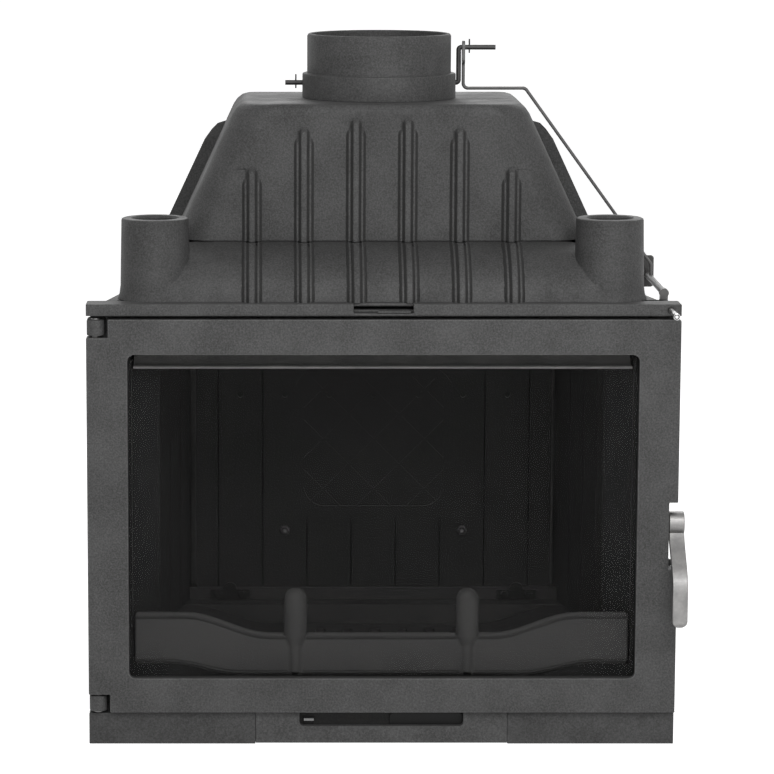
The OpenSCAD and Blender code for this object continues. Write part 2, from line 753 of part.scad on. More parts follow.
// The shoulder: a rounded skirt over the frame that carries the dome, with a tower at each corner
shoulder_y0 = door_y + 20;
dome_y = door_y + dome_back;
hood_set = 300;
hood_y = door_y + hood_set;
shoulder_half0 = body_half0 - wall_t;
shoulder_rim = 2;
shoulder_half1 = dome_half + shoulder_rim;
shoulder_turn = 62;
shoulder_steps = 4;
shoulder_r = 58;
rear_r = 8;
dome_z = deck_z + shoulder_h;
tower_inset = 80;
tower_x = half_w - tower_inset;
tower_set = 62;
tower_y = door_y + tower_set;
tower_swell = 5;
tower_rim = 2.5;
socket_d = 70;
socket_ribs = 4;
function rise_share(i) = sin(shoulder_turn * i / shoulder_steps) / sin(shoulder_turn);
function set_share(i) = (1 - cos(shoulder_turn * i / shoulder_steps)) / (1 - cos(shoulder_turn));
module shoulder_slices(inset) {
    for (i = [0:shoulder_steps]) {
        c = set_share(i);
        z = deck_z + (shoulder_h - slice_t) * rise_share(i) - inset * c - (inset > 0 && i == 0 ? cut : 0);
        front = shoulder_y0 + (dome_y - shoulder_y0) * c + inset;
        half = shoulder_half0 + (shoulder_half1 - shoulder_half0) * c - inset;
        back = body_half(hood_y) + (shoulder_half1 - body_half(hood_y)) * c - inset;
        r = shoulder_r - inset;
        for (side = [-1, 1]) {
            translate([side * (half - r), front + r, z]) cylinder(r = r, h = slice_t, $fn = small);
            translate([side * (back - rear_r), hood_y - rear_r - seat + (inset > 0 ? wall_t + cut : 0), z])
                cylinder(r = rear_r, h = slice_t, $fn = small);
        }
    }
}
module tower() {
    w = tower_rim;
    translate([tower_x, tower_y, deck_z]) rotate_extrude($fn = fine) polygon([
        [0, 0],
        [tower_r + tower_swell, 0],
        [tower_r + tower_swell * 0.55, tower_h * 0.06],
        [tower_r + tower_swell * 0.3, tower_h * 0.16],
        [tower_r, tower_h - w],
        [tower_r - w * 0.3, tower_h - w * 0.3],
        [tower_r - w, tower_h],
        [0, tower_h]
    ]);
}
module tower_socket() {
    w = tower_rim;
    translate([tower_x, tower_y, deck_z + tower_h]) {
        difference() {
            translate([0, 0, -socket_d]) cylinder(r = socket_r, h = socket_d + cut, $fn = fine);
            for (k = [0:socket_ribs - 1]) rotate(45 + 90 * k)
                translate([socket_r - 2 * w, -w, -socket_d - cut]) cube([3 * w, 2 * w, socket_d - w]);
        }
        translate([0, 0, -w]) cylinder(r1 = socket_r, r2 = socket_r + 2 * w, h = 2 * w, $fn = fine);
    }
}

// Ribs: a crest with soft flanks, given as [share of the flank's half width, share of
// the crest's height]; each foot is sunk into the casting that carries it
rib_foot = 3;
flank_half = 1.5 * rib_w;
half_flank_shares = [[1, -0.2], [0.72, 0.07], [0.5, 0.24], [0.36, 0.8], [0.28, 1]];
flank_shares = concat([for (s = half_flank_shares) [-s[0], s[1]]], reversed(half_flank_shares));
rib_places = [0.5, 1.5, 2.5];

// A rib on the shoulder follows its curve, in layers that narrow towards the crest
function shoulder_line(out) = concat(
    [[shoulder_y0 - out, deck_z - cut]],
    [for (i = [0:2 * shoulder_steps]) let (
            k = i / 2,
            a = shoulder_turn * k / shoulder_steps,
            dy = (dome_y - shoulder_y0) * sin(a) / (1 - cos(shoulder_turn)),
            dz = shoulder_h * cos(a) / sin(shoulder_turn),
            size = norm([dy, dz]))
        [shoulder_y0 + (dome_y - shoulder_y0) * set_share(k) - out * dz / size,
            deck_z + shoulder_h * rise_share(k) + out * dy / size]]);
module shoulder_rib(x) {
    for (s = half_flank_shares) if (s[1] > 0)
        along_x(x - s[0] * flank_half, 2 * s[0] * flank_half)
            polygon(concat(shoulder_line(s[1] * rib_out), reversed(shoulder_line(-s[0] * rib_foot))));
}
module shoulder_shell() {
    intersection() {
        union() {
            difference() {
                hull() shoulder_slices(0);
                hull() shoulder_slices(wall_t);
                translate([-dome_half + wall_t, dome_y + wall_t, deck_z - cut])
                    cube([2 * (dome_half - wall_t), hood_y - dome_y, shoulder_h + 2 * cut]);
            }
            for (s = rib_places) pair() shoulder_rib(s * rib_pitch);
        }
        translate([-half_w, door_y, deck_z]) cube([insert_w, hood_y - seat - door_y, shoulder_h]);
    }
}
module shoulder() {
    color(iron) difference() {
        union() {
            shoulder_shell();
            pair() tower();
        }
        pair() tower_socket();
    }
}

// The smoke dome: a rounded shell with six ribs in front and the flue's opening on top
dome_gap = 0.6;
dome_r = 45;
dome_back_r = 12;
dome_edge = 14;
dome_rear_y = collar_r + dome_back_r;
dome_foot_z = dome_z + dome_gap;
dome_top_z = dome_foot_z + dome_h - dome_gap;
flue_y = 0;
flue_bore_r = spigot_r - spigot_wall;
edge_turns = [0, 30, 60, 90];
module dome_slice(z, half, inset) {
    for (side = [-1, 1]) {
        translate([side * (half - dome_r), dome_y + dome_r + inset, z])
            cylinder(r = dome_r, h = slice_t, $fn = small);
        translate([side * (half - dome_back_r), dome_rear_y - dome_back_r - inset, z])
            cylinder(r = dome_back_r, h = slice_t, $fn = small);
    }
}
module dome_slices(w) {
    top = dome_top_z - w;
    dome_slice(dome_foot_z - (w > 0 ? cut : 0), dome_half - w, w);
    for (a = edge_turns) dome_slice(top - slice_t - dome_edge * (1 - sin(a)),
        dome_half - w - dome_slope * (top - dome_edge * (1 - sin(a)) - dome_foot_z) - dome_edge * (1 - cos(a)) * 0.8,
        w + dome_edge * (1 - cos(a)) * 0.5);
}
rib_drop_shares = [0.885, 0.815, 0.525];
rib_cap_turn = 55;
module dome_rib(x, share) {
    end_z = dome_foot_z + dome_h * share;
    outline = concat([[-flank_half, rib_foot]],
        [for (s = flank_shares) [s[0] * flank_half, -s[1] * rib_out]],
        [[flank_half, rib_foot]]);
    difference() {
        translate([x, dome_y, dome_foot_z]) linear_extrude(end_z - dome_foot_z) polygon(outline);
        translate([x - rib_pitch, dome_y, end_z]) rotate([rib_cap_turn, 0, 0])
            translate([0, -dome_back, 0]) cube([2 * rib_pitch, dome_back, dome_back]);
    }
}
module smoke_dome() {
    color(iron) difference() {
        union() {
            hull() dome_slices(0);
            for (i = [0:2]) pair() dome_rib(rib_places[i] * rib_pitch, rib_drop_shares[i]);
        }
        hull() dome_slices(wall_t);
        translate([0, flue_y, dome_foot_z]) cylinder(r = flue_bore_r, h = dome_h + cut, $fn = fine);
        translate([-half_w, hood_y - seat, dome_foot_z - cut]) cube([insert_w, base_d, hood_top_z + seat + cut - dome_foot_z]);
    }
}

// The rear hood, wider than the dome so that its rim shows round it
hood_top_z = deck_z + hood_h;
hood_bend_z = dome_z;
hood_r = 15;
hood_back_r = 12;
hood_wide = body_half(hood_y);
hood_top_half = hood_wide - dome_slope * (hood_top_z - hood_bend_z);
module hood_outline(inset, narrow) {
    half = hood_wide - inset - narrow;
    top = hood_top_half - inset - narrow;
    r = hood_r - min(inset, hood_r / 2);
    polygon(both_sides([
        [half, deck_z - (inset > 0 ? cut : 0)],
        [half, hood_bend_z],
        [top + dome_slope * r * 1.6, hood_top_z - inset - r * 1.6],
        [top + dome_slope * r * 0.3, hood_top_z - inset - r * 0.75],
        [top - r * 0.35, hood_top_z - inset - r * 0.25],
        [top - r * 1.2, hood_top_z - inset]
    ]));
}
module hood_slices(inset) {
    taper = (rear_y - hood_y) * tan(body_taper);
    r = hood_back_r;
    along_y(hood_y + inset, slice_t) hood_outline(inset, 0);
    along_y(rear_y - r - inset, slice_t) hood_outline(inset, taper);
    along_y(rear_y - r * 0.3 - inset, slice_t) translate([0, -r * 0.3]) hood_outline(inset, taper + r * 0.3);
    along_y(rear_y - slice_t - inset, slice_t) translate([0, -r]) hood_outline(inset, taper + r);
}
module rear_hood() {
    inner = dome_half - wall_t;
    color(iron) difference() {
        union() {
            hull() hood_slices(0);
            for (i = [-rear_ribs:rear_ribs]) translate([i * rib_pitch - wall_rib_t / 2, rear_y - wall_t / 2, deck_z])
                cube([wall_rib_t, wall_t / 2 + wall_rib * 0.7, hood_h * 0.7 - abs(i) * hood_r]);
        }
        hull() hood_slices(wall_t);
        along_y(hood_y - cut, wall_t + 2 * cut) polygon(both_sides([
            [inner, deck_z - cut],
            [inner, dome_foot_z],
            [inner - dome_slope * (hood_top_z - wall_t - dome_foot_z), hood_top_z - wall_t]
        ]));
        translate([-half_w, door_y, deck_z - base_d]) cube([insert_w, insert_w, base_d]);
    }
}

// The flue collar and spigot, bored for the damper's shaft
collar_z = dome_top_z;
shaft_z = collar_z + collar_h * 0.6;
collar_step = 2;
spigot_lip = 3;
flue_top_z = collar_z + collar_h + spigot_h;
spigot_z0 = collar_z + collar_h + collar_step;
spigot_z1 = flue_top_z - spigot_lip;
module flue_collar() {
    color(iron) difference() {
        translate([0, flue_y, collar_z]) rotate_extrude($fn = fine) polygon([
            [flue_bore_r, 0],
            [collar_r, 0],
            [collar_r, collar_h - collar_step / 2],
            [collar_r - collar_step / 2, collar_h],
            [spigot_r, collar_h],
            [spigot_r, collar_h + spigot_h - spigot_lip],
            [spigot_r - spigot_lip * 0.3, collar_h + spigot_h - spigot_lip * 0.3],
            [spigot_r - spigot_lip / 2, collar_h + spigot_h],
            [flue_bore_r + spigot_lip / 3, collar_h + spigot_h],
            [flue_bore_r, collar_h + spigot_h - spigot_lip / 3]
        ]);
        translate([-half_w / 2, flue_y, shaft_z]) rotate([0, 90, 0])
            cylinder(r = shaft_r + run_fit, h = half_w, $fn = mid);
    }
}

// The hinge pins: their heads lie under and over the ears
pin_head_r = 5.5;
pin_reach = 24;
module hinge_pin() {
    cylinder(r = hinge_pin_r, h = ear_h + door_play + pin_reach, $fn = mid);
    translate([0, 0, -door_play * 0.8]) cylinder(r = pin_head_r, h = door_play * 0.8, $fn = mid);
}
module hinge_pins() {
    color(satin) {
        translate([hinge_x, hinge_y, ear_low_z]) hinge_pin();
        translate([hinge_x, hinge_y, ear_high_z + ear_h]) mirror([0, 0, 1]) hinge_pin();
    }
}

// The keeper on the frame's back and the roller that the latch's finger lies under
keeper_t = 6;
keeper_d = 14;
keeper_pin_r = 2.5;
roller_edge = 1;
module latch_keeper() {
    color(steel) difference() {
        translate([keeper_gap_x - keeper_t, frame_back_y, roller_z - keeper_d])
            cube([keeper_t, keeper_d, 2 * keeper_d]);
        translate([keeper_gap_x - keeper_t - cut, roller_y, roller_z]) rotate([0, 90, 0])
            cylinder(r = keeper_pin_r + run_fit, h = keeper_t + 2 * cut, $fn = mid);
    }
}
module keeper_roller() {
    color(satin) translate([keeper_gap_x, roller_y, roller_z]) rotate([0, 90, 0]) {
        translate([0, 0, -keeper_t]) cylinder(r = keeper_pin_r, h = keeper_t + cut, $fn = mid);
        translate([0, 0, roller_edge / 2]) cylinder(r = roller_r, h = finger_w + 2 * roller_edge, $fn = mid);
    }
}

// The cast door: a front skin with rims behind, a rope channel and seats for the glass
door_corner_r = 3;
rope_side_set = 22;
rope_end_set = 15;
rope_turn_r = 40;
rope_y = frame_y - seat - rope_r;
rope_x = half_w - rope_side_set;
rope_z0 = door_z0 + rope_end_set;
rope_z1 = door_z1 - rope_end_set;
channel_wall = 2.5;
channel_half = rope_r + slide_fit;
notch_top = 26;
notch_low = 54;
door_bore_h = ear_h + 2 * door_play + pin_reach + cut;
hinge_boss_w = hinge_inset + hinge_pin_r + 3 * run_fit + channel_wall;
handle_boss = 16;
ear_notch_x = hinge_x + ear_r + ear_gap;
glass_y = door_y + door_skin + gasket_t;
glass_back_y = glass_y + glass_t;
clip_w = 16;
clip_screw_r = 1.5;
clip_boss_r = 3;
clip_set = glass_lap + clip_boss_r + seat;
module door_outline() {
    difference() {
        round_rect(-half_w, door_z0, half_w, door_z1, door_corner_r);
        translate([-half_w - cut, door_z0 - cut])
            square([ear_notch_x + half_w + cut, ear_low_z + ear_h + door_play - door_z0 + cut]);
        translate([-half_w - cut, ear_high_z - door_play])
            square([ear_notch_x + half_w + cut, door_z1 - ear_high_z + door_play + cut]);
        translate([handle_x0 - slide_fit, pivot_z - notch_low]) square([handle_w + cut, notch_low + notch_top]);
    }
}
module door_blocks() {
    // Round the hinge pins
    for (z = [door_z0, door_z1 - door_bore_h - cut]) translate([-half_w, z])
        square([hinge_boss_w, door_bore_h + cut]);
    // Beside the ears
    for (z = [door_z0, door_z1 - ear_h - 2 * door_play - door_rim])
        translate([-half_w, z]) square([ear_notch_x + half_w + door_rim, ear_h + 2 * door_play + door_rim]);
    // Round the handle's notch
    translate([handle_x0 - slide_fit - door_rim, pivot_z - notch_low - door_rim])
        square([handle_w + door_rim, notch_low + notch_top + 2 * door_rim]);
}
module rope_ring_outline(half) {
    difference() {
        round_rect(-rope_x - half, rope_z0 - half, rope_x + half, rope_z1 + half, rope_turn_r + half);
        round_rect(-rope_x + half, rope_z0 + half, rope_x - half, rope_z1 - half, rope_turn_r - half);
    }
}
module clip_places() {
    for (x = [-0.55, 0.55]) {
        translate([x * window_half, 0, window_z1 + clip_set]) children();
        translate([x * window_half, 0, window_z0 - clip_set]) rotate([0, 180, 0]) children();
    }
    for (z = [0.3, 0.7]) {
        translate([window_half + clip_set, 0, window_z0 + (window_z1 - window_z0) * z]) rotate([0, 90, 0]) children();
        translate([-window_half - clip_set, 0, window_z0 + (window_z1 - window_z0) * z]) rotate([0, -90, 0]) children();
    }
}
module door_frame() {
    color(iron) difference() {
        union() {
            along_y(door_y, door_skin) door_outline();
            along_y(door_y, door_t) difference() {
                door_outline();
                round_rect(-half_w + door_rim, door_z0 + door_rim, half_w - door_rim, door_z1 - door_rim, door_corner_r);
            }
            along_y(door_y, door_t) intersection() {
                door_outline();
                union() {
                    door_blocks();
                    rope_ring_outline(channel_half + channel_wall);
                }
            }
            clip_places() translate([0, door_y + door_skin - cut, 0]) rotate([-90, 0, 0])
                cylinder(r = clip_boss_r, h = gasket_t + glass_t + cut, $fn = small);
        }
        along_y(door_y - cut, door_skin + 2 * cut)
            round_rect(-window_half, window_z0, window_half, window_z1, window_r);
        along_y(rope_y - rope_r - slide_fit, door_t) rope_ring_outline(channel_half);
        for (z = [door_z0, door_z1 - door_bore_h]) translate([hinge_x, hinge_y, z])
            cylinder(r = hinge_pin_r + run_fit, h = door_bore_h, $fn = mid);
        translate([handle_x0 - slide_fit - handle_boss, pivot_y, pivot_z]) rotate([0, 90, 0])
            cylinder(r = handle_pin_r + run_fit, h = handle_w + handle_boss, $fn = mid);
    }
}
module door_glass() {
    color(glass_tint) along_y(glass_y, glass_t) round_rect(-window_half - glass_lap, window_z0 - glass_lap,
        window_half + glass_lap, window_z1 + glass_lap, window_r);
}
module glass_gasket() {
    color(rope_grey) along_y(glass_y - gasket_t, gasket_t) difference() {
        round_rect(-window_half - glass_lap, window_z0 - glass_lap,
            window_half + glass_lap, window_z1 + glass_lap, window_r);
        round_rect(-window_half - glass_lap / 4, window_z0 - glass_lap / 4,
            window_half + glass_lap / 4, window_z1 + glass_lap / 4, window_r);
    }
}
module glass_clips() {
    color(steel) clip_places() translate([0, glass_back_y + seat / 2, 0]) difference() {
        translate([-clip_w / 2, 0, -clip_set + glass_lap / 4]) cube([clip_w, clip_t, clip_set + clip_boss_r - glass_lap / 4]);
        rotate([-90, 0, 0]) translate([0, 0, -cut]) cylinder(r = clip_screw_r + run_fit, h = clip_t + 2 * cut, $fn = small);
    }
}
module clip_screws() {
    color(satin) clip_places() translate([0, glass_back_y + seat / 2, 0]) rotate([-90, 0, 0]) {
        cylinder(r = clip_screw_r, h = clip_t + seat / 2, $fn = small);
        translate([0, 0, clip_t + seat / 2]) cylinder(r = 2 * clip_screw_r, h = clip_screw_r, $fn = small);
    }
}

// The rope seal: four straights and four quarter turns
module door_rope_seal() {
    turn = rope_turn_r;
    color(rope_grey) translate([0, rope_y, 0]) {
        for (z = [rope_z0, rope_z1]) translate([-rope_x + turn, 0, z]) rotate([0, 90, 0])
            cylinder(r = rope_r, h = 2 * (rope_x - turn), $fn = small);
        for (x = [-rope_x, rope_x]) translate([x, 0, rope_z0 + turn])
            cylinder(r = rope_r, h = rope_z1 - rope_z0 - 2 * turn, $fn = small);
        for (c = [[1, 1, 0], [-1, 1, 90], [-1, -1, 180], [1, -1, 270]])
            translate([c.x * (rope_x - turn), 0, c.y > 0 ? rope_z1 - turn : rope_z0 + turn])
                rotate([90, 0, 0]) rotate(c.z) rotate_extrude(angle = 90, $fn = fine)
                    translate([turn, 0]) circle(rope_r, $fn = small);
    }
}

// The handle: a cast lever that hooks under the keeper's roller
knuckle_r = 14;
grip_half = 5.5;
grip_steps = 12;
grip_bend_share = 0.62;
module handle_pin() {
    color(satin) translate([handle_x0 - handle_boss + cut, pivot_y, pivot_z]) rotate([0, 90, 0])
        cylinder(r = handle_pin_r, h = handle_w + handle_boss - 2 * cut, $fn = mid);
}
module door_handle() {
    grip_y = door_y - handle_reach - grip_half;
    lever = [for (i = [0:grip_steps]) let (u = i / grip_steps)
        [pivot_y + (grip_y - pivot_y) * smooth(u / grip_bend_share), pivot_z - handle_len * u + grip_half * u]];
    front = [for (p = lever) [p.x - grip_half, p.y]];
    back = [for (p = lever) [p.x + grip_half, p.y]];
    color(satin) difference() {
        union() {
            along_x(handle_x0, handle_w) {
                polygon(concat(front, reversed(back)));
                translate([pivot_y, pivot_z]) circle(knuckle_r, $fn = fine);
                translate(lever[grip_steps]) circle(grip_half, $fn = mid);
            }
            along_x(handle_x0 + roller_edge, finger_w)
                translate([pivot_y, pivot_z - finger_down - finger_t / 2]) square([finger_back, finger_t]);
        }
        translate([handle_x0 - cut, pivot_y, pivot_z]) rotate([0, 90, 0])
            cylinder(r = handle_pin_r + run_fit, h = handle_w + 2 * cut, $fn = mid);
    }
}

// The damper: a shaft bent into a crank, and the blade screwed to it
crank_gap = 0.6;
crank_x = collar_r + shaft_r + crank_gap;
crank_bend = shaft_r + crank_gap / 3;
crank_z = shaft_z + crank_r;
crank_pin_len = 45;
crank_pin_x = crank_x + crank_pin_len;
shaft_out = 21;
shaft_end_x = -collar_r - shaft_out;
cotter_r = 0.9;
cotter_len = 7;
cotter_ring = 2.6;
left_cotter_out = 8;
left_cotter_x = -collar_r - left_cotter_out;
right_cotter_out = 13;
right_cotter_x = crank_x + right_cotter_out;
blade_play = 3;
blade_r = flue_bore_r - blade_play;
blade_half = 57;
blade_tilt = 45;
blade_screw_x = 45;
module damper_shaft() {
    color(steel) translate([0, flue_y, 0]) difference() {
        union() {
            translate([shaft_end_x, 0, shaft_z]) rotate([0, 90, 0])
                cylinder(r = shaft_r, h = crank_x - crank_bend - shaft_end_x, $fn = mid);
            translate([crank_x - crank_bend, 0, shaft_z + crank_bend]) rotate([90, 0, 0]) rotate(-90)
                rotate_extrude(angle = 90, $fn = mid) translate([crank_bend, 0]) circle(shaft_r, $fn = mid);
            translate([crank_x, 0, shaft_z + crank_bend]) cylinder(r = shaft_r, h = crank_r - 2 * crank_bend, $fn = mid);
            translate([crank_x + crank_bend, 0, crank_z - crank_bend]) rotate([90, 0, 0]) rotate(90)
                rotate_extrude(angle = 90, $fn = mid) translate([crank_bend, 0]) circle(shaft_r, $fn = mid);
            translate([crank_x + crank_bend, 0, crank_z]) rotate([0, 90, 0])
                cylinder(r = shaft_r, h = crank_pin_x - crank_x - crank_bend, $fn = mid);
        }
        for (p = [[left_cotter_x, shaft_z], [right_cotter_x, crank_z]]) translate([p.x, 0, p.y - 2 * shaft_r])
            cylinder(r = cotter_r + run_fit, h = 4 * shaft_r, $fn = small);
    }
}
module damper_cotters() {
    color(steel) for (p = [[left_cotter_x, shaft_z], [right_cotter_x, crank_z]]) translate([p.x, flue_y, p.y]) {
        translate([0, 0, -cotter_len]) cylinder(r = cotter_r, h = 2 * cotter_len - cotter_ring, $fn = small);
        translate([0, 0, cotter_len]) rotate([0, 90, 0]) rotate_extrude($fn = small)
            translate([cotter_ring, 0]) circle(cotter_r, $fn = small);
    }
}
module blade_place() {
    translate([0, flue_y, shaft_z]) rotate([blade_tilt, 0, 0]) translate([0, 0, shaft_r + run_fit]) children();
}
module damper_blade() {
    color(dark_iron) blade_place() intersection() {
        cylinder(r = blade_r, h = blade_t, $fn = fine);
        translate([-blade_r, -blade_half, 0]) cube([2 * blade_r, 2 * blade_half, blade_t]);
    }
}
module blade_screws() {
    color(steel) blade_place() for (x = [-blade_screw_x, blade_screw_x])
        translate([x, 0, blade_t]) bolt_head(clip_screw_r * 1.6);
}

// The pull rod, its knob, the barrel that slides in the guide, and the link to the crank
pull_share = 0.93;
pull_per_rad = pull_share * crank_r;
pull_travel = pull_per_rad * PI / 4;
barrel_r = 4;
barrel_up = 11.5;
barrel_y0 = frame_back_y + pull_travel + crank_gap * 4;
guide_gap = 5;
guide_y = flue_y + pull_travel + wire_r + guide_gap;
guide_t = 3;
guide_arm_h = 7;
guide_foot_w = 6;
guide_foot_d = 18;
barrel_y1 = guide_y + guide_t + pull_travel + crank_gap * 4;
barrel_head_r = 5.5;
barrel_head_d = 12;
knob_r = 4;
knob_y1 = door_y - pull_travel - crank_gap;
knob_len = 28;
yoke_play = 1.5;
link_t = 3.4;
link_x = crank_x + shaft_r + 2 * crank_gap + link_t / 2;
link_wall = 3.5;
link_drop = crank_r * (1 - cos(45));
wire_up = 11;
wire_low_z = dome_top_z + wire_up;
wire_out = 73;
wire_out_x = link_x + wire_out;
wire_bend = 6;
wire_foot = 16;
wire_foot_z = rod_z + barrel_up + wire_foot;
module pull_knob() {
    color(bright) translate([rod_x, knob_y1, rod_z]) rotate([90, 0, 0]) difference() {
        union() {
            cylinder(r = knob_r, h = knob_len - knob_r / 3, $fn = mid);
            translate([0, 0, knob_len - knob_r / 3]) cylinder(r1 = knob_r, r2 = knob_r * 0.7, h = knob_r / 3, $fn = mid);
        }
        translate([0, 0, -cut]) cylinder(r = rod_r + run_fit, h = knob_len / 2 + cut, $fn = mid);
    }
}
module pull_rod() {
    color(steel) translate([rod_x, barrel_y0 + barrel_head_d, rod_z]) rotate([90, 0, 0])
        cylinder(r = rod_r, h = barrel_y0 + barrel_head_d - knob_y1 + knob_len / 2 - cut, $fn = mid);
}
module rod_barrel() {
    color(steel) difference() {
        union() {
            translate([rod_x, barrel_y1, rod_z + barrel_up]) rotate([90, 0, 0])
                cylinder(r = barrel_r, h = barrel_y1 - barrel_y0, $fn = mid);
            translate([rod_x, barrel_y0 + barrel_head_d, 0]) rotate([90, 0, 0]) linear_extrude(barrel_head_d) {
                translate([0, rod_z + barrel_up]) circle(barrel_head_r, $fn = mid);
                translate([0, rod_z]) circle(barrel_head_r, $fn = mid);
                translate([-barrel_head_r * 0.8, rod_z]) square([barrel_head_r * 1.6, barrel_up]);
            }
        }
        translate([rod_x, barrel_y0 + barrel_head_d + cut, rod_z]) rotate([90, 0, 0])
            cylinder(r = rod_r + run_fit, h = barrel_head_d + 2 * cut, $fn = mid);
        translate([rod_x, flue_y, rod_z + barrel_up])
            cylinder(r = wire_r + run_fit, h = 2 * barrel_r, $fn = small);
    }
}

// A straight of the wire between two points, and a bend about a centre, both in x and z.
// The straights end a little way inside the bends, which are a shade thicker.
bend_swell = 0.12;
bend_in = 1;
module wire_run(p, q, before, after) {
    d = q - p;
    translate([p.x, 0, p.y]) rotate([0, atan2(d.x, d.y), 0]) translate([0, 0, -before])
        cylinder(r = wire_r, h = norm(d) + before + after, $fn = small);
}
module wire_turn(centre, from, to) {
    translate([centre.x, 0, centre.y]) rotate([90, 0, 0]) rotate(from)
        rotate_extrude(angle = to - from, $fn = fine) translate([wire_bend, 0]) circle(wire_r + bend_swell, $fn = small);
}
module link_wire() {
    eye_z0 = crank_z - link_drop - shaft_r - yoke_play - link_wall;
    eye_z1 = crank_z + shaft_r + yoke_play + link_wall;
    slot_half_w = shaft_r + yoke_play;
    r = wire_bend;
    low = [link_x + r, wire_low_z + r];
    out = [wire_out_x, wire_low_z - r];
    foot = [rod_x - r, wire_foot_z];
    fall = atan2(out.y - foot.y, foot.x - out.x);
    color(steel) translate([0, flue_y, 0]) {
        difference() {
            along_x(link_x - link_t / 2, link_t)
                round_rect(-slot_half_w - link_wall, eye_z0, slot_half_w + link_wall, eye_z1, slot_half_w + link_wall / 2);
            along_x(link_x - link_t, 2 * link_t)
                round_rect(-slot_half_w, eye_z0 + link_wall, slot_half_w, eye_z1 - link_wall, slot_half_w * 0.98);
        }
        wire_run([link_x, low.y], [link_x, eye_z0 + link_wall / 2], bend_in, 0);
        wire_turn(low, 180, 270);
        wire_run([low.x, wire_low_z], [out.x, wire_low_z], bend_in, bend_in);
        wire_turn(out, 90 - fall, 90);
        wire_run(out + r * [sin(fall), cos(fall)], foot + r * [sin(fall), cos(fall)], bend_in, bend_in);
        wire_turn(foot, 0, 90 - fall);
        wire_run([rod_x, foot.y], [rod_x, rod_z + barrel_up + barrel_r / 4], bend_in, 0);
    }
}
module rod_guide() {
    foot_x0 = body_half(guide_y) + guide_t;
    color(steel) difference() {
        union() {
            along_y(guide_y, guide_t) {
                translate([foot_x0, deck_z]) square([rod_x - foot_x0, guide_arm_h]);
                round_rect(rod_x - 2 * barrel_r, rod_z - barrel_r, rod_x + 2 * barrel_r,
                    rod_z + barrel_up + 6 * barrel_r, barrel_r);
            }
            translate([foot_x0, guide_y, deck_z]) cube([guide_foot_w, guide_foot_d, guide_t]);
        }
        translate([rod_x, guide_y + guide_t + cut, rod_z + barrel_up]) rotate([90, 0, 0])
            cylinder(r = barrel_r + run_fit, h = guide_t + 2 * cut, $fn = mid);
    }
}

// The ash drawer's front with the air slot, its register plate and the pan
drawer_half = bay_half - seat;
drawer_foot = 1;
drawer_bottom = 7.5;
end_lip = 4;
register_z1 = base_h - door_play;
window_x0 = 14;
slot_r = 5;
module drawer_front() {
    color(iron) difference() {
        union() {
            translate([-drawer_half, base_front_y, drawer_foot]) cube([2 * drawer_half, drawer_t, base_h - drawer_foot]);
            pair() translate([drawer_half - end_lip, base_front_y + drawer_t / 2, drawer_bottom])
                cube([end_lip, register_y - base_front_y - drawer_t / 2, register_z1 - drawer_bottom]);
        }
        along_y(base_front_y - cut, drawer_t + 2 * cut) {
            round_rect(-air_slot_w / 2, air_slot_z, air_slot_w / 2, base_h + 2 * slot_r, slot_r);
        }
    }
}
module drawer_register() {
    color(dark_iron) difference() {
        translate([-drawer_half, register_y, drawer_bottom]) cube([2 * drawer_half, register_t, register_z1 - drawer_bottom]);
        along_y(register_y - cut, register_t + 2 * cut)
            round_rect(window_x0, drawer_bottom + slot_r, window_x0 + air_travel - slot_r, register_z1 - slot_r, slot_r / 2);
    }
}
pan_wall = 2;
pan_side = 2;
module ash_pan() {
    h = register_z1 - base_floor_t - seat;
    color(steel) translate([0, 0, base_floor_t + seat]) difference() {
        translate([-bay_half + pan_side, pan_y, 0]) cube([2 * (bay_half - pan_side), pan_d, h]);
        translate([-bay_half + pan_side + pan_wall, pan_y + pan_wall, pan_wall])
            cube([2 * (bay_half - pan_side - pan_wall), pan_d - 2 * pan_wall, h]);
        along_y(pan_y - cut, pan_wall + 2 * cut)
            round_rect(window_x0, slot_r + drawer_bottom - base_floor_t, window_x0 + air_travel - slot_r, h - slot_r, slot_r / 2);
    }
}
module drawer_screws() {
    color(satin) pair() translate([drawer_half - end_lip * 4, pan_y + pan_wall, base_h / 2]) rotate([-90, 0, 0])
        bolt_head(clip_screw_r);
}
flag_x0 = 10;
strip_x0 = -115;
tab_x = -87;
tab_half = 6;
tab_out = 4;
module primary_air_slide() {
    z0 = drawer_bottom + seat;
    color(dark_iron) {
        along_y(slide_y, slide_t) {
            translate([strip_x0, z0]) square([air_slot_w / 2 - strip_x0, air_slot_z - cut - z0]);
            round_rect(flag_x0, z0, air_slot_w / 2, register_z1 - seat, slot_r);
            translate([tab_x - tab_half, z0]) square([2 * tab_half, air_slot_z + slot_r + tab_out - z0]);
        }
        translate([tab_x - tab_half, slide_y - tab_out, air_slot_z + slot_r]) cube([2 * tab_half, tab_out + slide_t, tab_out * 0.7]);
    }
}

// The slide under the flange's notch that meters the air down the glass
wash_tab_x0 = -7;
wash_tab_w = 39;
wash_stem_x0 = 4;
wash_stem_w = 18;
wash_bar_d = 6;
wash_plate_half = 64;
module secondary_air_slide() {
    y0 = wash_front_y + slide_fit;
    z0 = wash_pocket_z + slide_fit;
    color(dark_iron) translate([0, 0, z0]) linear_extrude(slide_t) {
        difference() {
            translate([-wash_plate_half, y0]) square([2 * wash_plate_half, wash_back_y - slide_fit - y0]);
            for (i = [-1:1]) translate([i * wash_pitch - wash_hole_w / 2, wash_hole_y]) square([wash_hole_w, wash_hole_d]);
        }
        translate([wash_stem_x0, door_y + cut]) square([wash_stem_w, y0 - door_y]);
        round_rect(wash_tab_x0, door_y + cut / 2, wash_tab_x0 + wash_tab_w, door_y + cut / 2 + wash_bar_d, cut / 2);
    }
}

